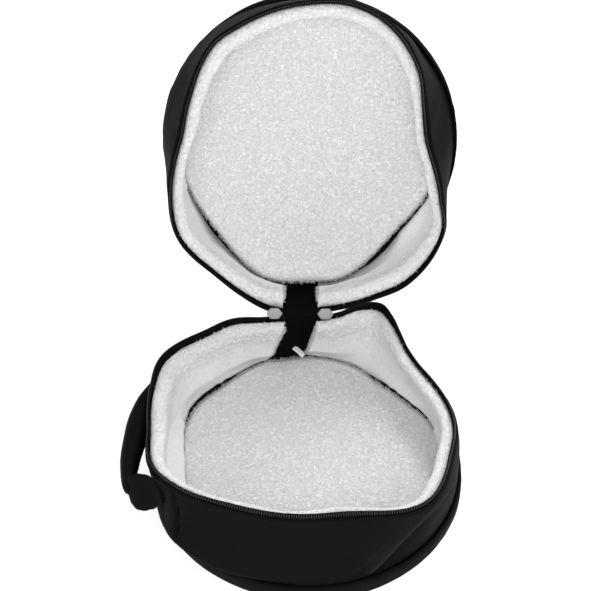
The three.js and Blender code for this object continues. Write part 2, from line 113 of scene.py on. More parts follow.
# Edge of each fleece pad: angle, distance from the half's axis
BASE_PAD: Table = (
    (8, 175), (22, 175.5), (38, 167.5), (56, 169), (72, 182), (88, 187), (100, 187), (108, 188),
    (118, 183), (132, 177), (146, 179), (157, 176), (168, 168), (182, 162), (225, 166),
    (270, 166), (315, 168), (340, 172),
)
LID_PAD: Table = (
    (8, 175), (22, 176), (36, 174.5), (48, 177.5), (58, 184.5), (69, 193), (77, 194), (90, 189),
    (102, 190), (112, 183), (122, 175), (136, 168.5), (158, 174.5), (180, 176), (225, 181),
    (270, 182), (315, 181), (340, 177),
)
# How far that edge rises above the flat pad: angle, rise
BASE_LIP: Table = ((0, 0), (50, 0), (90, 2), (130, 0), (270, 0))
LID_LIP: Table = (
    (0, 0), (30, 1), (46, 7), (62, 17), (75, 20), (100, 20), (112, 16), (125, 8), (140, 2),
    (165, 0), (270, 0),
)
# Radius of the black binding where it shows between pad and wall: angle, radius
BASE_LINE: Table = (
    (15, 0), (22, 1.4), (34, 2.3), (55, 2.1), (66, 1.3), (85, 1.2), (95, 1.8), (108, 1.2),
    (124, 2.2), (134, 3.0), (146, 2.8), (155, 1.2), (161, 0), (270, 0),
)
LID_LINE: Table = (
    (15, 0), (22, 0.6), (32, 1.1), (42, 2.1), (50, 2.0), (58, 1.2), (68, 1.1), (80, 1.4),
    (98, 1.1), (106, 0.9), (116, 2.2), (128, 2.8), (138, 2.1), (150, 1.4), (158, 0.9), (164, 0),
    (270, 0),
)
# How many times thicker than usual the fleece wall is: angle, share
BASE_ROLL: Table = ((0, 1), (120, 1), (240, 1))
LID_ROLL: Table = ((0, 1.08), (30, 1), (120, 1), (220, 1), (265, 1.1), (300, 1.3), (335, 1.28))
# The fleece wall's profile, up its back and from its rim down its face: height share, depth in from the wall
LINING_COLUMNS = 820
LINING_BACK: Table = ((0.02, 3.4), (0.3, 3.4), (0.6, 3.4), (0.74, 3.4), (0.79, 5.3))
LINING_FACE: Table = (
    (0.86, 5.3), (0.9, 6.4), (0.925, 10.0), (0.92, 14.5), (0.893, 18.6), (0.84, 21.0), (0.76, 20.8),
    (0.62, 18.8), (0.45, 17.2), (0.27, 16.2), (0.13, 15.2), (0.02, 14.6),
)
# The same face beside the hinge strip, upwards, where its cut edge frays
CUT_FACE: Table = ((0.02, 14.6), (0.27, 16.2), (0.45, 17.2), (0.62, 18.8), (0.84, 21.0), (0.9, 18.0))
CUT_BACK = 6.0
CUT_ROUND = 2.5
# Rows of the side cloth's outer face, as first share of the height, last share and count, and of its back
CLOTH_ROWS = ((0.0, 0.05, 4), (0.08, 0.82, 34), (0.84, SIDE_TOP, 14))
CLOTH_BACK = (SIDE_TOP, 0.8, 0.55, 0.3, 0.0)
# A slider's rings from its back to its crown: height, share of its outline
SLIDER_ROWS: Table = (
    (0.0, 0.9), (0.25, 0.97), (0.8, 1.0), (2.0, 1.0), (2.6, 0.985), (3.0, 0.95), (3.2, 0.88),
    (3.3, 0.75), (3.38, 0.5), (3.42, 0.25),
)
# The leaf-shaped tabs of the carry grip: share of the length, half the height there
FRONT_LEAF: Table = ((0, 19), (0.12, 28), (0.28, 34), (0.42, 34), (0.56, 29), (0.78, 17), (1, 5))
REAR_LEAF: Table = ((0, 12), (0.3, 18), (0.65, 20), (1, 12))
# The carry grip's outer and inner face: angle, distance from the base's axis
GRIP_OUTER: Table = (
    (146, 224), (152, 226), (157, 229.5), (163, 235), (170, 237), (180, 239.8), (190, 245),
    (199, 249.3), (206, 253),
)
GRIP_INNER: Table = (
    (146, 215), (157, 214), (170, 208), (180, 209.5), (184, 213), (190, 220.5), (196, 227),
    (199, 228.5), (206, 230),
)


class Weave(Enum):
    """How the threads of a cloth cross."""

    PLAIN = "plain"
    TWILL = "twill"
    RIB = "rib"


class Side(Enum):
    """The two sides of the hinge strip, as seen from the front."""

    LEFT = -1
    RIGHT = 1


# Numbers on arrays

# A curl of the pile: how it drifts, its half length and half width, all as shares of the distance between
# curls, and the height of the lowest one
CURL_DRIFT_SIZE = 1.7
CURL_DRIFT = 0.45
CURL_LONG = 1.05
CURL_SHORT = 0.5
CURL_LOWEST = 0.6
# A loose fibre: where along it its middle ring lies, how much of its bow that ring has, and how thin it is
FIBRE_MIDDLE = 0.55
FIBRE_BOW = 0.3
FIBRE_TAPER = 0.75


def ease(share: Array) -> Array:
    """Smooth step from 0 to 1 of a share that is held to that range."""
    held = np.clip(share, 0, 1)
    return held * held * (3 - 2 * held)


def round_table(table: Table, angle: Array) -> Array:
    """A table's value at each angle: a smooth cubic through its rows, round the full turn.

    Each row's slope is that of the line between its two neighbours.

    Args:
        table: rows of angle and value, in order of angle.
        angle: any array of angles.
    Returns:
        The values, in the angles' shape.
    """
    at, value = np.array(table, float).T
    turn = np.mod(angle, 360)
    after = np.searchsorted(at, turn, side="right") % len(at)
    before = after - 1
    span = np.mod(at[after] - at[before], 360)
    t = np.mod(turn - at[before], 360) / span
    slope = (np.roll(value, -1) - np.roll(value, 1)) / np.mod(np.roll(at, -1) - np.roll(at, 1), 360)
    ends = value[before] + (value[after] - value[before]) * t * t * (3 - 2 * t)
    return ends + span * t * (1 - t) * (slope[before] * (1 - t) - slope[after] * t)


def line_table(table: Table, share: Array) -> Array:
    """A table's value at each share of a length, eased between its rows.

    Args:
        table: rows of share and value, in order of share.
        share: any array of shares.
    Returns:
        The values, in the shares' shape.
    """
    rows = np.array(table, float)
    after = np.clip(np.searchsorted(rows[:, 0], share), 1, len(rows) - 1)
    low, high = rows[after - 1], rows[after]
    along = ease((share - low[..., 0]) / (high[..., 0] - low[..., 0]))
    return low[..., 1] + (high[..., 1] - low[..., 1]) * along


def lattice(cells: Array, seed: int) -> Array:
    """A repeatable number from 0 to 1 for each whole-number cell, by mixing the bits of its coordinates.

    Args:
        cells: array whose last axis holds two or three whole numbers.
        seed: picks the pattern.
    Returns:
        One number for each cell.
    """
    mixed = np.full(cells.shape[:-1], seed * 7919 + 17, np.uint32)
    for axis, prime in enumerate((73856093, 19349663, 83492791)[: cells.shape[-1]]):
        mixed = mixed ^ (cells[..., axis].astype(np.int64).astype(np.uint32) * np.uint32(prime))
        mixed = (mixed ^ (mixed >> np.uint32(13))) * np.uint32(1274126177)
    mixed = mixed ^ (mixed >> np.uint32(16))
    return mixed / 2.0**32


def soft_noise(points: Array, size: float, seed: int) -> Array:
    """Smooth noise from -1 to 1: random numbers at the corners of cells of one size, eased between.

    Args:
        points: array whose last axis holds two or three coordinates.
        size: width of a cell.
        seed: picks the pattern.
    Returns:
        One number for each point.
    """
    scaled = points / size
    cell = np.floor(scaled).astype(np.int64)
    share = ease(scaled - cell)
    total = np.zeros(points.shape[:-1])
    for corner in itertools.product((0, 1), repeat=points.shape[-1]):
        weight = np.prod(np.where(np.array(corner) == 1, share, 1 - share), axis=-1)
        total += weight * lattice(cell + np.array(corner), seed)
    return 2 * total - 1


@dataclass(frozen=True)
class Ripple:
    """Smooth noise on a cloth: its height, the width of its lumps, its seed, and how they are drawn out."""

    height: float
    size: float
    seed: int
    squeeze: float = 1.0

    def over(self, cloth: Array, seed: int) -> Array:
        """Its height at each place of a cloth."""
        return self.height * soft_noise(cloth * [1, self.squeeze], self.size, seed + self.seed)


def curls(points: Array, size: float, seed: int) -> Array:
    """Height from 0 to 1 of a curled pile: each cell holds one lengthened dome, turned its own way.

    Args:
        points: cloth coordinates, two for each point.
        size: distance between curls.
        seed: picks the pattern.
    Returns:
        The height of the tallest dome over each point.
    """
    wide = size * CURL_DRIFT_SIZE
    drift = np.stack([soft_noise(points, wide, seed + 5), soft_noise(points, wide, seed + 6)], -1)
    warped = points + CURL_DRIFT * size * drift
    cell = np.floor(warped / size).astype(np.int64)
    tallest = np.zeros(points.shape[:-1])
    for step in itertools.product((-1, 0, 1), repeat=2):
        near = cell + np.array(step)
        middle = (near + np.stack([lattice(near, seed), lattice(near, seed + 1)], -1)) * size
        turn = 2 * np.pi * lattice(near, seed + 2)
        off = (warped - middle) / size
        along = off[..., 0] * np.cos(turn) + off[..., 1] * np.sin(turn)
        across = off[..., 1] * np.cos(turn) - off[..., 0] * np.sin(turn)
        away = (along / CURL_LONG) ** 2 + (across / CURL_SHORT) ** 2
        height = CURL_LOWEST + (1 - CURL_LOWEST) * lattice(near, seed + 3)
        dome = np.sqrt(np.clip(1 - away, 0, None)) * height
        tallest = np.maximum(tallest, dome)
    return tallest


def smooth_line(knots: Array, count: int) -> Array:
    """Points at even distances along a smooth curve through knots (a Catmull-Rom spline).

    Args:
        knots: the points that the curve passes through, one on each row.
        count: how many points to give.
    Returns:
        The points, one on each row.
    """
    padded = np.vstack([2 * knots[0] - knots[1], knots, 2 * knots[-1] - knots[-2]])
    share = np.linspace(0, len(knots) - 1, 40 * len(knots))
    k = np.minimum(share.astype(int), len(knots) - 2)
    t = (share - k)[:, None]
    a, b, c, d = (padded[k + n] for n in range(4))
    fine = 0.5 * (2 * b + (c - a) * t + (2 * a - 5 * b + 4 * c - d) * t**2 + (3 * b - a - 3 * c + d) * t**3)
    length = np.append(0, np.cumsum(np.linalg.norm(np.diff(fine, axis=0), axis=1)))
    even = np.linspace(0, length[-1], count)
    return np.stack([np.interp(even, length, fine[:, n]) for n in range(knots.shape[1])], -1)


def lengths(points: Array) -> Array:
    """Distance along a line of points, from its first one."""
    return np.append(0, np.cumsum(np.linalg.norm(np.diff(points, axis=0), axis=1)))


def unit(vectors: Array) -> Array:
    """Vectors of length 1 along the last axis."""
    return vectors / np.linalg.norm(vectors, axis=-1, keepdims=True)


# Folds of the side cloth

# How a fold fades in above the seam, and a crest at its line's ends (degrees) and at both seams (shares)
FOLD_FADE = 0.4
CREST_START = 5.0
CREST_STOP = 8.0
CREST_SEAM = 0.08
CREST_HEM = 0.06
# The painted light on a crest: width of its painted highlight line, then strength and reach of the painted
# light above it and the painted shade below it
PAINTED_HIGHLIGHT_WIDTH = 0.018
PAINTED_LIGHT_ABOVE = (0.3, 0.14)
PAINTED_SHADE_BELOW = (-0.17, 0.4)


@dataclass(frozen=True)
class Fold:
    """A ridge or crease up the side cloth: angle at the seam, turn up to the rim, half width, depth, and the
    painted light along it.

    A depth below 0 is a crease, and painted light below 0 a painted line of shade along it, above 0 a
    painted highlight.
    """

    angle: float
    slant: float
    width: float
    depth: float
    painted_light: float = 0.0

    def near(self, angle: Array, v: Array) -> Array:
        """A parabola across the fold, 1 on its line, that fades towards the seam and the rim.

        Args:
            angle: angles round the axis.
            v: shares of the wall's height.
        Returns:
            The share at each place.
        """
        off = np.mod(angle - self.angle - self.slant * v + 180, 360) - 180
        fade = np.sin(np.pi * np.clip(v, 0, 1)) * ease(v / FOLD_FADE)
        return np.clip(1 - (off / self.width) ** 2, 0, None) * fade

    def height(self, angle: Array, v: Array) -> Array:
        """How far the fold stands out at each place on the wall."""
        return self.depth * self.near(angle, v)

    def painted_light_at(self, angle: Array, v: Array) -> Array:
        """The painted light along the fold at each place: lighter for a painted highlight, darker for
        painted shade.
        """
        return self.painted_light * self.near(angle, v)


@dataclass(frozen=True)
class Crest:
    """A sharp fold along a line on the side cloth: angle and height share of the line, how far the fold
    reaches above and below it as a share of the height, its depth, and the strength of its painted light."""

    line: Table
    above: float
    below: float
    depth: float
    painted_light: float = 0.0

    def off(self, angle: Array, v: Array) -> tuple[Array, Array]:
        """How far above the line each place is, and a share that fades at the line's ends and both seams.

        Args:
            angle: angles round the axis.
            v: shares of the wall's height.
        Returns:
            Both, for each place.
        """
        at, height = smooth_line(np.array(self.line), 160).T
        turn = np.mod(angle, 360)
        within = ease((turn - at[0]) / CREST_START) * ease((at[-1] - turn) / CREST_STOP)
        within = within * ease(v / CREST_SEAM) * ease((SIDE_TOP - v) / CREST_HEM)
        return v - np.interp(turn, at, height), within

    def height(self, angle: Array, v: Array) -> Array:
        """How far the fold stands out: it falls off from its line, at its own rate on each side."""
        off, within = self.off(angle, v)
        return self.depth * np.exp(-np.where(off > 0, off / self.above, -off / self.below)) * within

    def painted_light_at(self, angle: Array, v: Array) -> Array:
        """The painted light of the crest: a painted highlight on its line, painted light above it and
        painted shade below it.

        Args:
            angle: angles round the axis.
            v: shares of the wall's height.
        Returns:
            The change of tone at each place.
        """
        off, within = self.off(angle, v)
        # Painted light above the crest's line, painted shade below it, and a painted highlight on it
        above = PAINTED_LIGHT_ABOVE[0] * np.exp(-off / PAINTED_LIGHT_ABOVE[1])
        below = PAINTED_SHADE_BELOW[0] * np.exp(off / PAINTED_SHADE_BELOW[1])
        pale = np.exp(-((off / PAINTED_HIGHLIGHT_WIDTH) ** 2))
        return self.painted_light * within * (pale + np.where(off > 0, above, below))


# Closed shells


def quads(grid: Array) -> Array:
    """The four corners of each quad of a grid, in order."""
    return np.stack([grid[..., :-1, :-1], grid[..., 1:, :-1], grid[..., 1:, 1:], grid[..., :-1, 1:]], -1)


class Shell:
    """Points, faces and cloth coordinates of one piece, gathered before its mesh is made."""

    def __init__(self) -> None:
        """Starts with nothing in it."""
        self.points: list[Array] = []
        self.pile: list[Array] = []
        self.nap: list[Array] = []
        self.faces: list[Array] = []
        self.cloth: list[Array] = []
        self.count = 0

    def put(self, points: Array, pile: Array | None = None, nap: Array | None = None) -> Array:
        """Adds points to the piece.

        Args:
            points: places, in any layout.
            pile: share of the pile's height at each point; on a cloth piece, its painted light and shade
                instead.
            nap: how long the pile is there, from 0 for brushed flat to 1.
        Returns:
            The points' numbers, in the same layout.
        """
        flat = points.reshape(-1, 3)
        self.points.append(flat)
        self.pile.append(np.ones(len(flat)) if pile is None else pile.ravel())
        self.nap.append(np.ones(len(flat)) if nap is None else nap.ravel())
        numbers = self.count + np.arange(len(flat)).reshape(points.shape[:-1])
        self.count += len(flat)
        return numbers

    def skin(self, numbers: Array, u: Array, v: Array) -> None:
        """Covers a grid of point numbers with quads.

        Args:
            numbers: the grid, with its first row or column repeated at the end where it closes on itself.
            u: cloth coordinate of each row of the grid.
            v: cloth coordinate of each column.
        """
        us, vs = np.meshgrid(u, v, indexing="ij")
        self.faces.append(quads(numbers).reshape(-1, 4))
        self.cloth.append(np.stack([quads(us), quads(vs)], -1).reshape(-1, 4, 2))

    def facets(self, *groups: Array) -> None:
        """Adds faces that need no cloth coordinates.

        Args:
            groups: point numbers of faces, all with the same count of corners in a group.
        """
        for faces in groups:
            self.faces.append(faces)
            self.cloth.append(np.zeros((*faces.shape, 2)))

    def fan(self, ring: Array, middle: int, turn: int = 1) -> None:
        """Closes a ring of points onto a middle point with triangles, one way round or the other (-1)."""
        self.facets(np.stack([ring, np.roll(ring, -turn), np.full(len(ring), middle)], -1))

    def cap(self, ring: Array, outline: Array) -> None:
        """Closes a ring of points with triangles.

        Args:
            ring: the points' numbers.
            outline: the same points on a plane, two coordinates each, where the ring may be hollow.
        """
        def area(first: Array, second: Array) -> Array:
            """Twice the area between pairs of directions on the plane, with its sign."""
            return first[..., 0] * second[..., 1] - first[..., 1] * second[..., 0]

        corners = [Vector((*point, 0.0)) for point in outline.tolist()]
        triangles = np.array(tessellate_polygon([corners]))
        a, b, c = np.moveaxis(outline[triangles], 1, 0)
        turned = area(b - a, c - a) * area(outline, np.roll(outline, -1, 0)).sum() < 0
        triangles[turned] = triangles[turned][:, ::-1]
        self.facets(ring[triangles])

    def mesh(self, name: str) -> Piece:
        """Makes the object, turning all faces outwards by the sign of the volume that they hold.

        Args:
            name: the piece's name.
        Returns:
            The new object, in metres, at the origin.
        """
        points = np.concatenate(self.points)
        volume = 0.0
        for face in self.faces:
            first = points[face[:, 0]]
            for k in range(1, face.shape[1] - 1):
                volume += float((first * np.cross(points[face[:, k]], points[face[:, k + 1]])).sum())
        turn = -1 if volume < 0 else 1
        sizes = np.concatenate([np.full(len(face), face.shape[1]) for face in self.faces])
        loops = np.concatenate([face[:, ::turn].ravel() for face in self.faces])
        cloth = np.concatenate([uv[:, ::turn].reshape(-1, 2) for uv in self.cloth])
        mesh = bpy.data.meshes.new(name)
        mesh.vertices.add(len(points))
        mesh.vertices.foreach_set("co", (points * MM).astype(np.float32).ravel())
        mesh.loops.add(len(loops))
        mesh.loops.foreach_set("vertex_index", loops.astype(np.int32))
        mesh.polygons.add(len(sizes))
        mesh.polygons.foreach_set("loop_start", np.append(0, np.cumsum(sizes)[:-1]).astype(np.int32))
        mesh.polygons.foreach_set("use_smooth", np.ones(len(sizes), bool))
        mesh.update(calc_edges=True)
        mesh.uv_layers.new(name="cloth").data.foreach_set("uv", (cloth * MM).astype(np.float32).ravel())
        for kind, values in (("pile", self.pile), ("nap", self.nap)):
            layer = mesh.attributes.new(kind, "FLOAT", "POINT")
            layer.data.foreach_set("value", np.concatenate(values).astype(np.float32))
        mesh.validate()
        piece = bpy.data.objects.new(mesh.name, mesh)
        bpy.context.scene.collection.objects.link(piece)
        return piece


def closed_up(grid: Array, axis: int) -> Array:
    """A grid of numbers with its first line repeated after its last, so that it closes on itself."""
    return np.concatenate([grid, np.take(grid, [0], axis=axis)], axis=axis)


def flattened(ring: Array) -> Array:
    """Points of a ring on the plane that fits them best, two coordinates each.

    Args:
        ring: points in space, one on each row.
    Returns:
        The points on that plane.
    """
    off = ring - ring.mean(0)
    _, _, axes = np.linalg.svd(off, full_matrices=False)
    return off @ axes[:2].T


def tube(shell: Shell, points: Array, u: Array, v: Array, loop: bool, pile: Array | None = None,
         nap: Array | None = None) -> None:
    """Adds a profile carried along a path: points[path, profile], where the profile closes on itself.

    Args:
        shell: what the tube is added to.
        points: the grid of points.
        u: distance along the path, with one more entry if it is a loop.
        v: distance round the profile, with one more entry.
        loop: whether the path closes on itself; otherwise both ends get a flat cap.
        pile: share of the pile's height at each point; on a cloth piece, its painted light and shade
            instead.
        nap: how long the pile is at each point.
    """
    numbers = shell.put(points, pile, nap)
    grid = closed_up(numbers, 1)
    shell.skin(closed_up(grid, 0) if loop else grid, u, v)
    if not loop:
        shell.cap(numbers[0], flattened(points[0]))
        shell.cap(numbers[-1][::-1], flattened(points[-1][::-1]))


def round_tube(shell: Shell, line: Array, radius: Array, sides: int, loop: bool, across: Array) -> None:
    """Adds a round cord along a line: a circle in the plane of the given direction and the path's normal.

    Args:
        shell: what the cord is added to.
        line: points of its middle.
        radius: its radius at each point.
        sides: points round it.
        loop: whether it closes on itself.
        across: a direction at each point, roughly square to the line.
    """
    along = np.roll(line, -1, 0) - np.roll(line, 1, 0) if loop else np.gradient(line, axis=0)
    along = unit(along)
    side = unit(across - (across * along).sum(-1, keepdims=True) * along)
    other = np.cross(along, side)
    turn = np.linspace(0, 2 * np.pi, sides, endpoint=False)[None, :, None]
    circle = np.cos(turn) * side[:, None] + np.sin(turn) * other[:, None]
    points = line[:, None] + radius[:, None, None] * circle
    run = lengths(np.vstack([line, line[:1]]) if loop else line)
    tube(shell, points, run, np.linspace(0, 2 * np.pi * float(radius.mean()), sides + 1), loop)


def strands(shell: Shell, roots: Array, lean: Array, bow: Array, radius: Array) -> None:
    """Adds loose fibres: three-sided spikes that leave their roots one way and bow over another.

    Args:
        shell: what the fibres are added to.
        roots: where they start.
        lean: the way and length that each one grows.
        bow: how far its middle and tip are drawn aside.
        radius: its radius at the root.
    """
    along = unit(lean)
    side = unit(np.cross(along, np.where(np.abs(along[:, 2:]) < 0.9, [0.0, 0.0, 1.0], [1.0, 0.0, 0.0])))
    other = np.cross(along, side)
    turn = np.radians([0, 120, 240])
    ring = np.cos(turn)[:, None] * side[:, None] + np.sin(turn)[:, None] * other[:, None]
    spread = radius[:, None, None] * ring
    low = shell.put(roots[:, None] + spread)
    middle = roots + FIBRE_MIDDLE * lean + FIBRE_BOW * bow
    high = shell.put(middle[:, None] + FIBRE_TAPER * spread)
    tip = shell.put(roots + lean + bow)
    after = np.roll(np.arange(3), -1)
    walls = np.stack([low, low[:, after], high[:, after], high], -1).reshape(-1, 4)
    tops = np.stack([high, high[:, after], np.repeat(tip[:, None], 3, 1)], -1).reshape(-1, 3)
    shell.facets(walls, tops, low[:, ::-1])


# Finishes


class Nodes:
    """The node tree of one material, with short calls to add and join nodes."""

    def __init__(self, name: str) -> None:
        """Makes the material with its shader.

        Args:
            name: the material's name.
        """
        self.material = bpy.data.materials.new(name)
        self.material.use_nodes = True
        self.tree = self.material.node_tree
        self.shader = self.tree.nodes["Principled BSDF"]

    def add(self, kind: str, **settings: object) -> bpy.types.Node:
        """Adds a node and sets its own properties.

        Args:
            kind: the node's type.
            settings: its properties by name.
        Returns:
            The new node.
        """
        node = self.tree.nodes.new(kind)
        for name, value in settings.items():
            setattr(node, name, value)
        return node

    def join(self, source: Socket, target: Socket) -> None:
        """Joins one socket to another."""
        self.tree.links.new(source, target)

    def math(self, operation: str, a: Socket | float, b: Socket | float | None = None) -> Socket:
        """A sum on sockets or numbers, as a socket.

        Args:
            operation: the kind of sum.
            a: its first value.
            b: its second value, if it has one.
        Returns:
            The result.
        """
        node = self.add("ShaderNodeMath", operation=operation)
        for socket, value in zip(node.inputs, (a, b)):
            if isinstance(value, Socket):
                self.join(value, socket)
            elif value is not None:
                socket.default_value = value
        return node.outputs[0]

    def noise(self, size: float, detail: float = 2.0, twist: float = 0.0) -> Socket:
        """Noise in the object's own coordinates, with lumps of about that many millimetres.

        Args:
            size: width of a lump.
            detail: how many finer layers it has.
            twist: how far it is distorted.
        Returns:
            A socket from 0 to 1.
        """
        place = self.add("ShaderNodeTexCoord")
        node = self.add("ShaderNodeTexNoise")
        node.inputs["Scale"].default_value = 1 / (size * MM)
        node.inputs["Detail"].default_value = detail
        node.inputs["Distortion"].default_value = twist
        self.join(place.outputs["Object"], node.inputs["Vector"])
        return node.outputs["Fac"]

    def spread(self, value: Socket, low: float, high: float,
               start: float = 0.0) -> Socket:
        """A value from its start to 1 carried to another range.

        Args:
            value: the socket.
            low: result at the start.
            high: result at 1.
            start: least value.
        Returns:
            The result.
        """
        node = self.add("ShaderNodeMapRange")
        self.join(value, node.inputs["Value"])
        node.inputs["From Min"].default_value = start
        node.inputs["To Min"].default_value = low
        node.inputs["To Max"].default_value = high
        return node.outputs["Result"]

    def blend(self, value: Socket, low: Triple, high: Triple) -> Socket:
        """A colour between two, by a value from 0 to 1.

        Args:
            value: the socket.
            low: colour at 0.
            high: colour at 1.
        Returns:
            The colour.
        """
        node = self.add("ShaderNodeValToRGB")
        node.color_ramp.elements[0].color = (*low, 1)
        node.color_ramp.elements[1].color = (*high, 1)
        self.join(value, node.inputs["Fac"])
        return node.outputs["Color"]

    def bump(self, height: Socket, depth: float, strength: Socket | float) -> None:
        """Adds relief of that depth in millimetres, on top of relief that is there already.

        Args:
            height: a socket from 0 to 1.
            depth: what a height of 1 stands for.
            strength: share of it that shows.
        """
        node = self.add("ShaderNodeBump")
        node.inputs["Distance"].default_value = depth * MM
        if isinstance(strength, Socket):
            self.join(strength, node.inputs["Strength"])
        else:
            node.inputs["Strength"].default_value = strength
        self.join(height, node.inputs["Height"])
        normal = self.shader.inputs["Normal"]
        if normal.is_linked:
            self.join(normal.links[0].from_socket, node.inputs["Normal"])
        self.join(node.outputs["Normal"], normal)

    def weave(self, kind: Weave, pitch: float) -> Socket:
        """Height of crossing threads along the piece's own cloth coordinates.

        Args:
            kind: how the threads cross.
            pitch: distance between threads in millimetres.
        Returns:
            A socket from 0 to 1.
        """
        cloth = self.add("ShaderNodeUVMap", uv_map="cloth")
        parts = self.add("ShaderNodeSeparateXYZ")
        self.join(cloth.outputs["UV"], parts.inputs["Vector"])
        turn = 2 * math.pi / (pitch * MM)
        u = self.math("MULTIPLY", parts.outputs["X"], turn)
        v = self.math("MULTIPLY", parts.outputs["Y"], turn)
        if kind is Weave.TWILL:
            u, v = self.math("ADD", u, v), self.math("MULTIPLY", v, 0.5)
        across = self.math("SINE", u)
        if kind is not Weave.RIB:
            across = self.math("MULTIPLY", across, self.math("SINE", v))
        return self.spread(across, 0.0, 1.0, -1.0)


@dataclass(frozen=True)
class ClothFinish:
    """Woven cloth: its colours, gloss, the pitch and relief of its threads, and how much it shines."""

    name: str
    dark: Triple
    light: Triple
    roughness: float
    weave: Weave
    pitch: float
    relief: float
    shine: float

    def material(self) -> bpy.types.Material:
        """Threads give the relief, noise varies colour and gloss, and the piece's painted light and shade,
        from its pile attribute, scales its colour.

        Returns:
            The new material.
        """
        nodes = Nodes(self.name)
        threads = nodes.weave(self.weave, self.pitch)
        broad = nodes.noise(38.0, 3.0)
        fine = nodes.noise(1.6, 2.0)
        # A cloth piece's pile attribute holds its painted light and shade
        painted_tone = nodes.add("ShaderNodeAttribute", attribute_name="pile")
        tint = nodes.add("ShaderNodeVectorMath", operation="SCALE")
        nodes.join(nodes.blend(broad, self.dark, self.light), tint.inputs["Vector"])
        nodes.join(painted_tone.outputs["Fac"], tint.inputs["Scale"])
        nodes.join(tint.outputs["Vector"], nodes.shader.inputs["Base Color"])
        gloss = nodes.spread(fine, self.roughness - 0.08, self.roughness + 0.1)
        nodes.join(gloss, nodes.shader.inputs["Roughness"])
        nodes.bump(threads, self.relief, 0.5)
        nodes.bump(broad, 0.6, 0.25)
        nodes.shader.inputs["Specular IOR Level"].default_value = self.shine
        return nodes.material


@dataclass(frozen=True)
class FleeceFinish:
    """White curled fleece: the colours down in the pile, where it is brushed flat and on its tips. The deep
    and flat colours are darker as painted shade, in the pile's hollows and low on the wall.
    """

    name: str
    deep: Triple
    flat: Triple
    tip: Triple
    curl: float = 4.6
    turns: float = 4.0
    twist: float = 0.9
    fibre: float = 1.3
    row_relief: float = 0.7
    fibre_relief: float = 0.45
    relief_shade: float = 0.62
    pile_shade: float = 0.25
    strength: float = 0.9

    def material(self) -> bpy.types.Material:
        """Level lines of a twisted noise make rows of curls, finer noise the fibres, where the nap is long.

        Returns:
            The new material.
        """
        nodes = Nodes(self.name)
        pile = nodes.add("ShaderNodeAttribute", attribute_name="pile")
        nap = nodes.add("ShaderNodeAttribute", attribute_name="nap")
        lines = nodes.math("MULTIPLY", nodes.noise(self.curl, 2.0, self.twist), 2 * math.pi * self.turns)
        rows = nodes.spread(nodes.math("SINE", lines), 0.0, 1.0, -1.0)
        fibres = nodes.noise(self.fibre, 3.0, 0.6)
        relief = nodes.math("ADD", nodes.math("MULTIPLY", rows, self.row_relief),
                            nodes.math("MULTIPLY", fibres, self.fibre_relief))
        # The colour follows the relief and the pile's height as painted shade: darker in the hollows between
        # rows, fibres and curls, lighter on their tops
        shade = nodes.math("ADD", nodes.math("MULTIPLY", relief, self.relief_shade),
                           nodes.math("MULTIPLY", pile.outputs["Fac"], self.pile_shade))
        # Where the nap is short, low on the wall, the flat colour takes over: a little darker, as painted
        # shade
        mix = nodes.add("ShaderNodeMix", data_type="RGBA")
        nodes.join(nap.outputs["Fac"], mix.inputs["Factor"])
        mix.inputs["A"].default_value = (*self.flat, 1)
        nodes.join(nodes.blend(shade, self.deep, self.tip), mix.inputs["B"])
        nodes.join(mix.outputs["Result"], nodes.shader.inputs["Base Color"])
        nodes.bump(relief, 1.0, nodes.math("MULTIPLY", nap.outputs["Fac"], self.strength))
        nodes.shader.inputs["Roughness"].default_value = 0.95
        nodes.shader.inputs["Sheen Weight"].default_value = 0.15
        nodes.shader.inputs["Sheen Roughness"].default_value = 0.6
        nodes.shader.inputs["Specular IOR Level"].default_value = 0.1
        return nodes.material


@dataclass(frozen=True)
class MetalFinish:
    """Satin cast metal with fine scratches and worn, brighter patches."""

    name: str
    dull: Triple
    worn: Triple

    def material(self) -> bpy.types.Material:
        """Noise drives colour, gloss and a fine relief.

        Returns:
            The new material.
        """
        nodes = Nodes(self.name)
        cast = nodes.noise(2.4, 4.0)
        nodes.join(nodes.blend(cast, self.dull, self.worn), nodes.shader.inputs["Base Color"])
        nodes.join(nodes.spread(cast, 0.34, 0.52), nodes.shader.inputs["Roughness"])
        nodes.bump(nodes.noise(0.5, 2.0), 0.06, 0.3)
        nodes.shader.inputs["Metallic"].default_value = 0.2
        return nodes.material


@dataclass(frozen=True)
class MouldedFinish:
    """Black moulded plastic of the zip's teeth."""

    name: str
    dark: Triple
    light: Triple

    def material(self) -> bpy.types.Material:
        """Fine noise varies the colour and gloss.

        Returns:
            The new material.
        """
        nodes = Nodes(self.name)
        grain = nodes.noise(1.2, 3.0)
        nodes.join(nodes.blend(grain, self.dark, self.light), nodes.shader.inputs["Base Color"])
        nodes.join(nodes.spread(grain, 0.32, 0.48), nodes.shader.inputs["Roughness"])
        nodes.bump(grain, 0.05, 0.3)
        return nodes.material


def grey(level: float) -> Triple:
    """A neutral colour."""
    return (level, level, level)


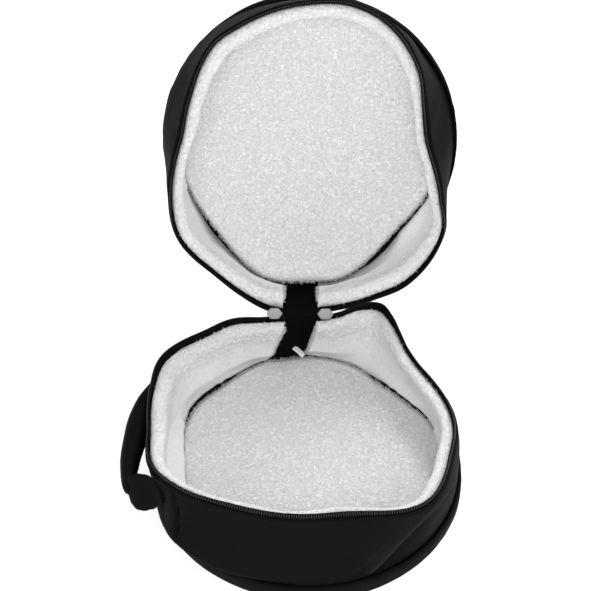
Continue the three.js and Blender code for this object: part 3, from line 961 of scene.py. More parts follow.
SIDE_NYLON = ClothFinish("side nylon", grey(0.0064), grey(0.0088), 0.6, Weave.PLAIN, 0.9, 0.12, 0.02)
EDGE_NYLON = ClothFinish("edge nylon", grey(0.0042), grey(0.006), 0.6, Weave.PLAIN, 0.9, 0.12, 0.03)
HANDLE_NYLON = ClothFinish("handle nylon", grey(0.0018), grey(0.003), 0.62, Weave.PLAIN, 0.9, 0.12, 0.05)
WEBBING = ClothFinish("webbing", grey(0.0024), grey(0.0036), 0.75, Weave.RIB, 1.6, 0.2, 0.03)
ZIP_CLOTH = ClothFinish("zip tape", grey(0.0045), grey(0.0065), 0.7, Weave.TWILL, 1.0, 0.12, 0.03)
LABEL_CLOTH = ClothFinish("label cloth", grey(0.76), grey(0.86), 0.6, Weave.PLAIN, 0.5, 0.05, 0.2)
# The four fleece finishes are lit and shaded copies of one white fleece, as painted light and shade: the
# lid's lighter than the base's, each pad darker than its wall
BASE_WALL_FLEECE = FleeceFinish("base wall fleece", grey(0.59), (0.68, 0.695, 0.69), grey(0.9))
LID_WALL_FLEECE = FleeceFinish("lid wall fleece", grey(0.72), (0.79, 0.805, 0.8), grey(1.0))
BASE_PAD_FLEECE = FleeceFinish("base pad fleece", grey(0.49), grey(0.66), grey(0.86))
LID_PAD_FLEECE = FleeceFinish("lid pad fleece", grey(0.64), grey(0.8), grey(1.0))
SLIDER_METAL = MetalFinish("slider metal", grey(0.26), grey(0.35))
ZIP_TEETH = MouldedFinish("zip teeth", grey(0.009), grey(0.024))


Finish = ClothFinish | FleeceFinish | MetalFinish | MouldedFinish


class Wardrobe:
    """Makes each finish's material once."""

    made: dict[str, bpy.types.Material] = {}

    @classmethod
    def dress(cls, piece: Piece, finish: Finish, slot: str, *nodes: str) -> Piece:
        """Gives a piece its material, and puts it in the place of its CAD nodes.

        Args:
            piece: a finished mesh object.
            finish: one of the finishes above.
            slot: the record's material slot; it is not used.
            nodes: CAD nodes that the piece stands for.
        Returns:
            The same piece.
        """
        if finish.name not in cls.made:
            cls.made[finish.name] = finish.material()
        piece.data.materials.append(cls.made[finish.name])
        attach(piece, "root")
        if nodes:
            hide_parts(*nodes)
        LOG.info("%s: %d faces", piece.name, len(piece.data.polygons))
        return piece


# Padding


def refined(coarse: Array, rows: int, columns: int) -> Array:
    """Values of a coarse grid on a finer one over the same square, in even steps between its points.

    Args:
        coarse: the grid, with the values on its last axis.
        rows: rows of the finer grid.
        columns: its columns.
    Returns:
        The finer grid.
    """
    down = np.linspace(0, coarse.shape[0] - 1, rows)
    along = np.linspace(0, coarse.shape[1] - 1, columns)
    r = np.minimum(down.astype(int), coarse.shape[0] - 2)
    c = np.minimum(along.astype(int), coarse.shape[1] - 2)
    a = (down - r)[:, None, None]
    b = (along - c)[None, :, None]
    upper = coarse[r][:, c] * (1 - b) + coarse[r][:, c + 1] * b
    lower = coarse[r + 1][:, c] * (1 - b) + coarse[r + 1][:, c + 1] * b
    return upper * (1 - a) + lower * a


@dataclass(frozen=True)
class Filling:
    """Fills a padded piece: a coarse copy swells as a cloth under pressure, up to a limit in mm."""

    pressure: float
    limit: float
    steps: int = 20
    weight: float = 0.002

    def swell(self, shell: Shell, sewn: Array) -> Array:
        """Runs the cloth and takes its result.

        Args:
            shell: the coarse, closed copy of the piece.
            sewn: numbers of the points that are held.
        """
        start = np.concatenate(shell.points)
        piece = shell.mesh("filling")
        piece.vertex_groups.new(name="sewn").add(sewn.ravel().tolist(), 1.0, "REPLACE")
        settings = piece.modifiers.new("filling", "CLOTH").settings
        settings.use_pressure = True
        settings.uniform_pressure_force = self.pressure
        settings.effector_weights.gravity = 0
        settings.mass = self.weight
        settings.vertex_group_mass = "sewn"
        for step in range(1, self.steps + 1):
            bpy.context.scene.frame_set(step)
        shape = piece.evaluated_get(bpy.context.evaluated_depsgraph_get()).data
        end = np.empty(start.size, np.float32)
        shape.vertices.foreach_get("co", end)
        bpy.context.scene.frame_set(1)
        mesh = piece.data
        bpy.data.objects.remove(piece)
        bpy.data.meshes.remove(mesh)
        moved = end.reshape(-1, 3) / MM - start
        farthest = float(np.linalg.norm(moved, axis=-1).max())
        LOG.info("filling swells by %.1f mm, held to %.1f mm", farthest, self.limit)
        return moved * min(1.0, self.limit / max(farthest, 1e-6))


PAD_FILLING = Filling(4.0, 5.0)
GRIP_FILLING = Filling(60.0, 2.5)

# How the boxed edge puffs out and puckers, how the fleece wall is dented and how the pads billow
EDGE_PUFF = 0.9
EDGE_PUCKERS = (Ripple(0.5, 11, 0, 0.3), Ripple(0.8, 46, 1, 0.5))
LINING_DENTS = (Ripple(2.8, 62, 7, 0.6), Ripple(1.3, 24, 8))
PAD_BILLOWS = (Ripple(1.1, 60, 21), Ripple(0.5, 24, 22))
# The pile: distance between curls and their height on wall and pad, and the share that is its mean height
WALL_CURL = 4.4
WALL_PILE = 1.4
PAD_CURL = 3.4
PAD_PILE = 0.7
PILE_MEAN = 0.4
# The side cloth's hem, sunk under the tape and raised at its stitching: depth, distance below, half width
HEM = ((2.2, 1.0, 1.1), (-0.7, 4.4, 1.2))
# The fleece wall's foot: its play beside the pad, how far it tucks under a closed groove, the groove that
# counts as open, its least depth, and the share of the height over which the face is drawn to it
FOOT_PLAY = 0.5
FOOT_TUCK = 2.5
FOOT_OPEN = 0.6
FOOT_LEAST = 4.6
FOOT_RISE = 0.2
ROLL_FROM = 5.0
# The pad's top: its level and crown as shares of its height, where its lip starts and runs as shares of the
# way to its edge, how far its edge drops and drops more at a groove, over what run, and how far it is dished
PAD_LEVEL = 0.97
PAD_CROWN = 0.05
LIP_START = 0.72
LIP_RUN = 0.24
EDGE_DROP = 4.0
GROOVE_DROP = 4.5
EDGE_RUN = 11.0
PAD_DISH = 2.5


# One round half of the case


@dataclass(frozen=True)
class SoftHalf:
    """One round half: a padded end panel, a soft wall with its zip, a fleece lining and a fleece pad.

    Attributes:
        name: base or lid, the first word of its pieces' names.
        inside: floor or ceiling, what its pad is.
        end: bottom or top, what its end panel is.
        panel: thickness of the end panel.
        rim: how far the rim leans out of the seam's circle, by angle.
        lift: how much higher than its lean allows the rim stands.
        sag: how far the slack wall sags out over the end panel.
        folds: folds and crests of the side cloth.
        pad_edge: distance of the pad's edge from the axis.
        pad_lip: how far that edge rises.
        line: radius of the binding between pad and wall.
        roll: how many times thicker than usual the fleece wall is.
        opened: whether the half is turned over about the hinge.
        shift: how far it lies aside along the case's X.
        panel_off: how far the end panel lies aside.
        panel_wide: width of the end panel, as a share.
        painted_tone: painted light and shade on the side cloth, a scale of its colour, 1 being its own
            colour.
        edge_painted_tone: painted light and shade on the end panel, a scale of its colour.
        wall_finish: fleece of the wall, a copy made lighter or darker for the half as painted light and
            shade.
        pad_finish: fleece of the pad, a copy made lighter or darker for the half as painted light and shade.
        seed: picks its random patterns.
        columns: points round the side cloth and the end panel.
        sag_peak: share of the height where the sag is fullest.
        rim_fibres: how many loose fibres the rim has.
        cut_fibres: the same for each cut edge.
        pad_fibres: the same for the pad's edge.
    """

    name: str
    inside: str
    end: str
    panel: float
    rim: Table
    lift: Table
    sag: Table
    folds: tuple[Fold | Crest, ...]
    pad_edge: Table
    pad_lip: Table
    line: Table
    roll: Table
    opened: bool
    shift: float
    panel_off: Triple
    panel_wide: float
    painted_tone: float
    edge_painted_tone: float
    wall_finish: FleeceFinish
    pad_finish: FleeceFinish
    seed: int
    columns: int = 560
    sag_peak: float = 0.16
    rim_fibres: int = 2400
    cut_fibres: int = 900
    pad_fibres: int = 2200

    @property
    def wall_length(self) -> float:
        """Length of the wall from its seam to the edge of the zip tape."""
        return HALF_HEIGHT - self.panel - GAP

    def placed(self, points: Array) -> Array:
        """Points of the half's own frame in the case's frame: the lid is turned over about the hinge.

        Args:
            points: places in the half's frame.
        Returns:
            The same places in the case's frame.
        """
        if not self.opened:
            return points
        x, dy, dz = points[..., 0], points[..., 1] - HINGE_Y, points[..., 2] - HALF_HEIGHT
        c, s = math.cos(LID_OPEN), math.sin(LID_OPEN)
        return np.stack([self.shift - x, HINGE_Y + dy * c - dz * s, HALF_HEIGHT - dy * s - dz * c], -1)

    def wall_height(self, angle: Array) -> Array:
        """Height of the wall: its length is fixed, so a leaning wall stands lower, but for a small lift."""
        upright = np.sqrt(self.wall_length**2 - round_table(self.rim, angle) ** 2)
        return upright + round_table(self.lift, angle)

    def swell(self, angle: Array, v: Array) -> Array:
        """How far the outer cloth stands out of the plain wall: its sag, and each fold.

        The sag grows from the seam to a sixth of the height and fades above it.

        Args:
            angle: angles round the axis.
            v: shares of the wall's height.
        Returns:
            The distance at each place, less than 0 in a dent.
        """
        low = np.clip(v, 0, None) / self.sag_peak
        total = np.clip(round_table(self.sag, angle), 0, None) * low * np.exp(1 - low)
        for fold in self.folds:
            total = total + fold.height(angle, v)
        return total

    def wall(self, angle: Array, v: Array, inset: Array, folded: bool = True) -> Array:
        """Points on the wall, from its seam (v 0) to its rim (v 1).

        Args:
            angle: angles round the axis.
            v: shares of the wall's height.
            inset: how far the points are set in from the outer face.
            folded: whether the outer cloth's sag and folds are part of it.
        Returns:
            Points in the half's own frame.
        """
        height = self.wall_height(angle)
        lean = round_table(self.rim, angle)
        belly = BELLY * np.sin(np.pi * np.clip(v, 0, 1))
        radius = SEAM_RADIUS + (RIM_FLARE + lean) * v + belly - inset * self.wall_length / height
        if folded:
            radius = radius + self.swell(angle, v)
        return self.on_axis(radius, angle, self.panel + GAP + height * v)

    @staticmethod
    def on_axis(radius: Array, angle: Array, height: Array) -> Array:
        """Points at a radius, angle and height."""
        turn = np.radians(angle)
        return np.stack(np.broadcast_arrays(radius * np.cos(turn), radius * np.sin(turn), height), -1)

    @staticmethod
    def turns(count: int) -> Array:
        """Angles of a full turn, without its end."""
        return np.linspace(0, 360, count, endpoint=False)

    def strip_middle(self, v: Array) -> Array:
        """Where the hinge strip runs along the half's own X.

        Args:
            v: shares of the wall's height.
        Returns:
            Its middle at each height.
        """
        if self.opened:
            return np.full_like(v, self.shift - STRIP_ON_LID)
        return STRIP_AT_FLOOR + (STRIP_AT_RIM - STRIP_AT_FLOOR) * v

    def open_turns(self, count: int, v: Array, clear: float) -> Array:
        """Angles from one edge of the hinge strip round to the other, for each height.

        Args:
            count: how many angles.
            v: heights on the wall.
            clear: room beside the strip.
        Returns:
            Angles[count, height].
        """
        reach = STRIP_WIDTH / 2 + clear
        wider = STRIP_SPREAD * np.clip(1 - v, 0, 1) ** (3 if self.opened else 1)
        left = np.degrees(np.arccos((self.strip_middle(v) - reach - wider) / SEAM_RADIUS))
        right = np.degrees(np.arccos((self.strip_middle(v) + reach) / SEAM_RADIUS))
        share = np.linspace(0, 1, count)[:, None]
        return left[None, :] + share * (right + 360 - left)[None, :]

    def laid(self, points: Array) -> Array:
        """Points of the end panel as the soft case lies: a little narrower and set aside."""
        return points * [self.panel_wide, 1, 1] + np.array(self.panel_off)

    def end_panel(self) -> None:
        """The padded end: a flat face, a boxed edge that puffs between its seams, and a rounded shoulder.

        Its profile is carried round the axis, and smooth noise puckers the boxed edge.
        """
        def arc(radius: float, height: float, size: float, start: float, count: int) -> Array:
            """Points of a rounded corner, a quarter of a circle from its start."""
            turn = np.radians(np.linspace(start, start + 90, count))
            return np.stack([radius + size * np.cos(turn), height + size * np.sin(turn)], -1)

        lower = EDGE_RADIUS - FLAT_RADIUS
        rise = np.linspace(lower + 1.5, self.panel - EDGE_ROUND - 1, 7)
        band = np.stack([np.full_like(rise, EDGE_RADIUS), rise], -1)
        profile = np.vstack([
            [[60, 0], [110, 0], [150, 0], [178, 0], [188, 0]],
            arc(FLAT_RADIUS, lower, lower, -90, 6),
            band,
            arc(EDGE_RADIUS - EDGE_ROUND, self.panel - EDGE_ROUND, EDGE_ROUND, 0, 9),
            [[184, self.panel], [120, self.panel], [60, self.panel]],
        ])
        angle = self.turns(self.columns)[:, None]
        run = np.radians(angle) * EDGE_RADIUS
        radius, height = profile[None, :, 0] + 0 * angle, profile[None, :, 1] + 0 * angle
        on_band = ease((radius - 190) / 8) * np.sin(np.pi * np.clip(height / self.panel, 0, 1))
        cloth = np.stack(np.broadcast_arrays(run, height), -1)
        pucker = sum(ripple.over(cloth, self.seed) for ripple in EDGE_PUCKERS)
        radius = radius + on_band * (EDGE_PUFF + pucker)
        points = self.placed(self.laid(self.on_axis(radius, angle, height)))
        shell = Shell()
        # The end panel's colour is scaled by a painted tone for the half: painted light on the base, painted
        # shade on the lid
        numbers = shell.put(points, np.full(points.shape[:-1], self.edge_painted_tone))
        poles = shell.put(self.placed(np.array([[0.0, 0.0, 0.0], [0.0, 0.0, self.panel]])))
        round_it = np.linspace(0, 2 * np.pi * EDGE_RADIUS, self.columns + 1)
        shell.skin(closed_up(numbers, 0), round_it, lengths(profile))
        shell.fan(numbers[:, 0], poles[0], -1)
        shell.fan(numbers[:, -1], poles[1])
        panel = f"{self.name}_{self.end}_panel"
        piece = Wardrobe.dress(shell.mesh(f"{panel}_cover"), EDGE_NYLON, "edge_nylon", panel)

    def piping(self) -> None:
        """The round welt on the seam: a circle carried round the axis, pinched by its stitches."""
        seat = math.radians(52)
        reach = EDGE_ROUND + 2.2 + GAP
        radius = EDGE_RADIUS - EDGE_ROUND + reach * math.cos(seat)
        height = self.panel - EDGE_ROUND + reach * math.sin(seat)
        angle = self.turns(720)
        level = np.full_like(angle, height)
        line = self.placed(self.laid(self.on_axis(radius, angle, level)))
        outward = self.placed(self.laid(self.on_axis(radius + 1, angle, level))) - line
        thick = WELT_RADIUS + 0.12 * np.sin(np.radians(angle) * 180)
        thick = thick + 0.1 * soft_noise(angle[:, None] * [1, 0], 3, self.seed)
        shell = Shell()
        round_tube(shell, line, thick, 8, True, outward)
        Wardrobe.dress(shell.mesh(f"{self.name}_welt"), WEBBING, "webbing", f"{self.name}_piping")

    def side_panel(self) -> None:
        """The woven side wall: its lean and folds, fine wrinkles and a hem under the zip tape."""
        outer = np.concatenate([np.linspace(*rows) for rows in CLOTH_ROWS])
        inner = np.array(CLOTH_BACK)
        v = np.concatenate([outer, inner])
        inset = np.concatenate([np.zeros(len(outer)), np.full(len(inner), SIDE_CLOTH - 0.3)])
        angle = self.turns(self.columns)[:, None]
        run = np.radians(angle) * SEAM_RADIUS
        cloth = np.stack(np.broadcast_arrays(run, v * self.wall_length), -1)
        free = np.sin(np.pi * np.clip(v / SIDE_TOP, 0, 1))
        slack = 0.9 * soft_noise(cloth * [1, 0.45] + cloth[..., ::-1] * [0.5, 0], 34, self.seed + 2)
        slack = slack + 0.35 * soft_noise(cloth * [1, 0.35], 12, self.seed + 3)
        gather = 0.25 * np.sin(run / 3.1) * np.exp(-v * self.wall_length / 5)
        below_top = (SIDE_TOP - v) * self.wall_length
        hem = sum(depth * np.exp(-(((below_top - at) / wide) ** 2)) for depth, at, wide in HEM)
        outside = (inset == 0).astype(float)
        sunk = inset + outside * (hem - slack * free - gather) + 0 * angle
        points = self.placed(self.wall(angle, v[None, :], sunk))
        shell = Shell()
        # The side cloth's colour is scaled by painted light and shade: a darker tone on the lid, and the
        # painted light along the folds
        painted_tone = np.full_like(sunk, self.painted_tone)
        for fold in self.folds:
            painted_tone = painted_tone + fold.painted_light_at(angle, v[None, :])
        tube(shell, points, np.linspace(0, 2 * np.pi * SEAM_RADIUS, self.columns + 1),
             np.append(v, 0) * self.wall_length, True, np.clip(painted_tone, 0.3, None))
        piece = Wardrobe.dress(shell.mesh(f"{self.name}_side_cloth"), SIDE_NYLON, "side_nylon",
                               f"{self.name}_side_panel")

    def pad_rim(self, angle: Array) -> tuple[Array, Array]:
        """Radius and height of the top of the pad's edge."""
        edge = round_table(self.pad_edge, angle)
        return edge, self.panel + GAP + 0.75 * PAD_HEIGHT + round_table(self.pad_lip, angle)

    def groove(self, angle: Array) -> Array:
        """Width of the open groove between pad and wall, where the binding shows."""
        return 2.2 * np.clip(round_table(self.line, angle) - 0.25, 0, None)

    def lining_face(self) -> Array:
        """The fleece wall's profile from its rim to its foot: height on the wall, depth in from it."""
        return smooth_line(np.array(LINING_FACE) * [self.wall_length, 1], 80)

    def lining_depth(self, angle: Array, v: Array, depth: Array) -> Array:
        """The profile's depth at each angle: low down it is drawn to the pad's edge, or to its groove.

        Args:
            angle: angles round the axis.
            v: shares of the wall's height.
            depth: the plain profile's depth.
        Returns:
            The depth at each place.
        """
        edge, top = self.pad_rim(angle)
        groove = self.groove(angle)
        tuck = FOOT_PLAY + FOOT_TUCK * ease(1 - groove / FOOT_OPEN)
        foot = np.maximum(SEAM_RADIUS - edge - groove + tuck, FOOT_LEAST)
        above = v - (top - self.panel - GAP) / self.wall_height(angle)
        thick = ROLL_FROM + (depth - ROLL_FROM) * round_table(self.roll, angle)
        return thick + ease(1 - above / FOOT_RISE) * (foot - thick)

    def meeting(self, angle: Array) -> tuple[Array, Array]:
        """Radius and height where the wall's face comes down onto the pad, at each angle.

        Args:
            angle: angles round the half's axis.
        Returns:
            Both, for each angle.
        """
        face = self.lining_face()
        turn = angle[:, None]
        v = face[:, 0] / self.wall_length + 0 * turn
        points = self.wall(turn + 0 * v, v, self.lining_depth(turn, v, face[:, 1]), False)
        radius = np.linalg.norm(points[..., :2], axis=-1)
        edge, _ = self.pad_rim(turn)
        under = points[..., 2] < self.pad_height(np.minimum(radius / edge, 1), turn)
        under[:, -1] = True
        row = np.arange(len(angle))
        first = under.argmax(axis=1)
        return radius[row, first], points[row, first, 2]

    def wall_lining(self) -> None:
        """The fleece wall: a roll at the rim, a brushed face below it, and a foot that meets the pad.

        Each point has a height on the wall and a depth in from its outer face. The depth runs along one
        profile, and low down it is drawn towards the pad's edge. The pile stands square to the face.
        """
        wall = self.wall_length
        face = self.lining_face()
        back = np.array(LINING_BACK) * [wall, 1]
        profile = np.vstack([back, face])
        v = profile[:, 0] / wall
        depth = profile[:, 1]
        count = LINING_COLUMNS
        on_face = np.concatenate([np.zeros(len(back)), np.ones(len(face))])
        angle = self.open_turns(count, v, 0.0)
        run = np.radians(angle) * SEAM_RADIUS
        cloth = np.stack(np.broadcast_arrays(run, lengths(profile) + 0 * run), -1)
        dents = sum(ripple.over(cloth, self.seed) for ripple in LINING_DENTS)
        ends = np.minimum(np.arange(count), np.arange(count)[::-1])[:, None]
        tuck = 0.15 + 0.85 * np.sqrt(1 - (1 - np.clip(ends / CUT_ROUND, 0, 1)) ** 2)
        drawn = self.lining_depth(angle, v, depth) + dents * ease((depth - 5) / 6)
        drawn = CUT_BACK + (drawn - CUT_BACK) * np.where(drawn > CUT_BACK, tuck, 1.0)
        dented = depth + np.clip(-self.swell(angle, v), 0, None)
        inset = np.where(on_face > 0, np.maximum(drawn, dented * (depth < 7)), dented)
        pile = curls(cloth, WALL_CURL, self.seed + 9)
        # The nap is short low on the wall, where the fleece lies flatter and its colour is a little darker
        # as painted shade
        nap = 0.4 + 0.6 * ease((v - 0.42 + 0.08 * soft_noise(cloth, 20, self.seed + 10)) / 0.3)
        base = self.wall(angle, v + 0 * angle, inset, False)
        out = unit(np.cross(np.gradient(base, axis=0), np.gradient(base, axis=1)))
        probe = (count // 2, len(back) + 55)
        out = out * np.sign((out[probe] * [1, 1, 0] * -base[probe]).sum())
        shift = on_face * ease((depth - 4.8) / 3) * ease(ends / 4) * WALL_PILE * nap * (pile - PILE_MEAN)
        points = self.placed(base + out * shift[..., None])
        shell = Shell()
        along = np.linspace(0, 2 * np.pi * SEAM_RADIUS, count)
        down = np.append(lengths(profile), 0)
        tube(shell, points, along, down, False, np.where(on_face > 0, pile, 1.0), nap)
        self.rim_fuzz(shell)
        self.cut_fuzz(shell)
        piece = Wardrobe.dress(shell.mesh(f"{self.name}_wall_fleece"), self.wall_finish, "wall_fleece",
                               f"{self.name}_wall_lining")

    def fuzz(self, shell: Shell, roots: Array, lean: Array, rng: np.random.Generator) -> None:
        """Adds loose fibres in the half's own frame, each bowed its own way.

        Args:
            shell: what the fibres are added to.
            roots: where they start.
            lean: the way and length that each grows.
            rng: where the random numbers come from.
        """
        starts = self.placed(roots)
        tips = self.placed(roots + lean) - starts
        bow = rng.normal(0, 0.9, roots.shape)
        strands(shell, starts, tips, bow, rng.uniform(0.35, 0.65, len(roots)))

    def rising_fuzz(self, shell: Shell, roots: Array, rng: np.random.Generator, out: tuple[float, float],
                    up: tuple[float, float], aside: float) -> None:
        """Adds loose fibres that lean out from the half's axis and up, and at random to both sides.

        Args:
            shell: what the fibres are added to.
            roots: where they start, in the half's own frame.
            rng: where the random numbers come from.
            out: least and greatest reach outwards.
            up: least and greatest reach upwards.
            aside: usual reach to a side.
        """
        count = len(roots)
        outward = unit(roots * [1, 1, 0])
        around = np.cross([0.0, 0.0, 1.0], outward)
        lean = rng.uniform(*out, count)[:, None] * outward
        lean = lean + rng.uniform(*up, count)[:, None] * [0, 0, 1]
        lean = lean + rng.normal(0, aside, count)[:, None] * around
        self.fuzz(shell, roots, lean, rng)

    def rim_fuzz(self, shell: Shell) -> None:
        """Adds short loose fibres along the top of the fleece wall, leaning towards the zip tape.

        Args:
            shell: what the fibres are added to.
        """
        count = self.rim_fibres
        rng = np.random.default_rng(self.seed)
        angle = self.open_turns(count, np.ones(1), 1.5)[:, 0] + rng.normal(0, 0.1, count)
        roots = self.wall(angle, rng.uniform(0.885, 0.915, count), rng.uniform(7.0, 12.0, count), False)
        self.rising_fuzz(shell, roots, rng, (0.2, 1.9), (0.8, 2.2), 1.1)

    def cut_fuzz(self, shell: Shell) -> None:
        """Adds loose fibres along the lining's two cut edges, leaning over the hinge strip.

        Args:
            shell: what the fibres are added to.
        """
        count = self.cut_fibres
        rng = np.random.default_rng(self.seed + 60)
        v = rng.uniform(0.08, 0.9, count)
        plain = np.interp(v, *np.array(CUT_FACE).T)
        share = rng.uniform(0.8, 0.96, count)
        ends = self.open_turns(2, v, 2.0)
        for angle, way in zip(ends, (-1, 1)):
            roots = self.wall(angle, v, share * self.lining_depth(angle, v, plain), False)
            outward = unit(roots * [1, 1, 0])
            around = way * np.cross([0.0, 0.0, 1.0], outward)
            lean = rng.uniform(0.8, 4.6, count)[:, None] * around
            lean = lean - rng.uniform(-0.4, 1.2, count)[:, None] * outward
            lean = lean + rng.normal(0, 1.2, count)[:, None] * [0, 0, 1]
            self.fuzz(shell, roots, lean, rng)

    def zip_tape(self) -> None:
        """The woven zip tape: a thin strip along the rim with a rolled edge that carries the teeth."""
        up = np.array([0.8, 0.9, 0.93, 0.95, 0.97, 0.985])
        v = np.concatenate([up, [0.999, 1.006, 0.999], up[::-1]])
        roll = [-0.4, TAPE / 2, TAPE + 0.4]
        inset = TAPE_INSET + np.concatenate([np.zeros(6), roll, np.full(6, TAPE)])
        angle = self.open_turns(700, v, 0.4)
        run = np.radians(angle) * SEAM_RADIUS
        wave = 0.12 * soft_noise(np.stack([run, 0 * run], -1), 14, self.seed + 12)
        points = self.placed(self.wall(angle, v + 0 * angle, inset + wave))
        shell = Shell()
        tube(shell, points, np.linspace(0, 2 * np.pi * SEAM_RADIUS, 700),
             np.append(lengths(np.stack([v * self.wall_length, inset], -1)), 0), False)
        piece = Wardrobe.dress(shell.mesh(f"{self.name}_zip_cloth"), ZIP_CLOTH, "zip_tape",
                               f"{self.name}_zip_tape")

    def coil(self, angle: Array) -> Array:
        """Middle of the zip's teeth in the half's own frame."""
        inset = np.full_like(angle, TAPE_INSET + TAPE / 2)
        return self.wall(angle, np.ones_like(angle), inset) + [0, 0, COIL_RADIUS]

    def zip_teeth(self) -> None:
        """The zip's teeth: one small rounded block, set at even distances along the rim."""
        turns = self.open_turns(3000, np.ones(1), 1.0)[:, 0]
        path = self.wall(turns, np.full_like(turns, 0.978), np.full_like(turns, TAPE_INSET - 0.1))
        above = self.wall(turns, np.full_like(turns, 1.0), np.full_like(turns, TAPE_INSET - 0.1))
        run = lengths(path)
        at = (np.arange(int(run[-1] / TOOTH_PITCH)) + 0.5) * TOOTH_PITCH
        spots = np.stack([np.interp(at, run, path[:, k]) for k in range(3)], -1)
        up = unit(np.stack([np.interp(at, run, above[:, k]) for k in range(3)], -1) - spots)
        along = np.gradient(spots, axis=0)
        along = unit(along - (along * up).sum(-1, keepdims=True) * up)
        outward = np.cross(along, up)
        turn = np.radians([30, 90, 150, 210, 270, 330])
        ring = np.stack([np.cos(turn), np.sin(turn)], -1)
        rows = np.array([[-1.0, 0.55], [-0.72, 1.0], [0.72, 1.0], [1.0, 0.55]])
        block = np.stack([
            TOOTH_HALF[0] * rows[:, 1, None] * ring[None, :, 0],
            TOOTH_HALF[1] * rows[:, 1, None] * ring[None, :, 1],
            TOOTH_HALF[2] * rows[:, 0, None] + 0 * ring[None, :, 0],
        ], -1)
        frames = np.stack([along, outward, up], 1)
        points = self.placed(spots[:, None, None] + np.einsum("rsk,nkc->nrsc", block, frames))
        shell = Shell()
        numbers = shell.put(points)
        shell.facets(quads(closed_up(numbers, 2)).reshape(-1, 4), numbers[:, 0], numbers[:, -1, ::-1])
        Wardrobe.dress(shell.mesh(f"{self.name}_zip_teeth"), ZIP_TEETH, "zip_coil",
                       f"{self.name}_zip_coil")

    def pad_height(self, out: Array, angle: Array) -> Array:
        """Height of the pad's top: crowned, lipped, and rounded at its edge by a quarter of an ellipse.

        Args:
            out: share of the way from the middle to the edge.
            angle: angles round the half's axis.
        Returns:
            The heights, in the half's own frame.
        """
        edge, _ = self.pad_rim(angle)
        lip = round_table(self.pad_lip, angle)
        crown = PAD_HEIGHT * (PAD_LEVEL + PAD_CROWN * np.cos(np.pi * out))
        height = self.panel + GAP + crown + lip * ease((out - LIP_START) / LIP_RUN)
        drop = EDGE_DROP + GROOVE_DROP * ease(round_table(self.line, angle) / 0.5)
        near = np.clip(1 - edge * (1 - out) / EDGE_RUN, 0, 1)
        return height - drop * (1 - np.sqrt(np.clip(1 - near**2, 0, 1)))

    def pad_shell(self, points: Array, angle: Array, pile: Array | None = None) -> Shell:
        """The pad's closed shell under the grid of its top: a skirt down to the panel, a flat underside.

        Args:
            points: the top, a square grid in the case's frame.
            angle: angles of the same grid.
            pile: share of the pile's height at each point.
        Returns:
            The shell, whose first points are the top's.
        """
        def border(grid: Array) -> Array:
            """The outermost values of a square grid, in order round it."""
            return np.concatenate([grid[:-1, 0], grid[-1, :-1], grid[:0:-1, -1], grid[0, :0:-1]])

        floor = self.panel + GAP
        shell = Shell()
        numbers = shell.put(points, pile)
        side = np.linspace(0, 346, len(points))
        shell.skin(numbers, side, side)
        ring, turn = border(numbers), border(angle)
        edge, _ = self.pad_rim(turn)
        low = shell.put(self.placed(self.on_axis(edge - 1, turn, np.full_like(edge, floor))))
        skirt = np.stack([closed_up(ring, 0), closed_up(low, 0)], -1)
        shell.skin(skirt[::-1], np.linspace(0, 1080, len(ring) + 1), np.array([0.0, 8.0]))
        middle = shell.put(self.placed(np.array([[0.0, 0.0, floor]])))
        shell.fan(low, middle[0], -1)
        return shell

    def pad(self) -> None:
        """The fleece pad: a crowned disc, rounded at its edge, under a curled pile.

        A square grid is carried onto the disc so that its rings stay square to the edge. A point's share
        of the way to the edge gives its height, and its angle the edge's distance and rise. A coarse copy is
        swollen by its filling, and the pile stands on top.
        """
        count = PAD_GRID
        a, b = np.meshgrid(np.linspace(-1, 1, count), np.linspace(-1, 1, count), indexing="ij")
        out = np.maximum(np.abs(a), np.abs(b))
        wide = np.abs(a) >= np.abs(b)
        split = np.where(wide, b / np.where(a == 0, 1, a), a / np.where(b == 0, 1, b))
        turn = np.where(wide, np.where(a < 0, np.pi, 0) + split * np.pi / 4,
                        np.where(b < 0, -np.pi / 2, np.pi / 2) - split * np.pi / 4)
        angle = np.degrees(turn)
        edge, _ = self.pad_rim(angle)
        far = edge * (1 - out)
        plan = self.on_axis(out * edge, angle, self.pad_height(out, angle))
        cloth = plan[..., :2]
        pile = curls(cloth, PAD_CURL, self.seed + 20)
        billow = sum(ripple.over(cloth, self.seed) for ripple in PAD_BILLOWS)
        plan[..., 2] += billow * ease(far / 20) - PAD_DISH * ease(far / 50)
        few = (slice(None, None, PAD_COARSE), slice(None, None, PAD_COARSE))
        coarse = self.pad_shell(self.placed(plan[few]), angle[few])
        free = np.flatnonzero(out[few] < 0.95)
        sewn = np.setdiff1d(np.arange(coarse.count), free)
        swollen = PAD_FILLING.swell(coarse, sewn)[: out[few].size].reshape(plan[few].shape)
        plan[..., 2] += PAD_PILE * (pile - PILE_MEAN)
        shell = self.pad_shell(self.placed(plan) + refined(swollen, count, count), angle, pile)
        self.pad_fuzz(shell)
        inside = f"{self.name}_{self.inside}"
        fleece = shell.mesh(f"{inside}_fleece")
        piece = Wardrobe.dress(fleece, self.pad_finish, "pad_fleece", f"{inside}_pad")

    def pad_fuzz(self, shell: Shell) -> None:
        """Adds loose fibres along the pad's edge on the hinge side, leaning out over the binding.

        Args:
            shell: what the fibres are added to.
        """
        count = self.pad_fibres
        rng = np.random.default_rng(self.seed + 50)
        angle = rng.uniform(4, 176, count)
        edge, top = self.pad_rim(angle)
        radius = edge - rng.uniform(0.5, 5.0, count)
        roots = self.on_axis(radius, angle, top - rng.uniform(0.0, 3.0, count))
        self.rising_fuzz(shell, roots, rng, (0.4, 3.0), (1.0, 3.6), 1.0)

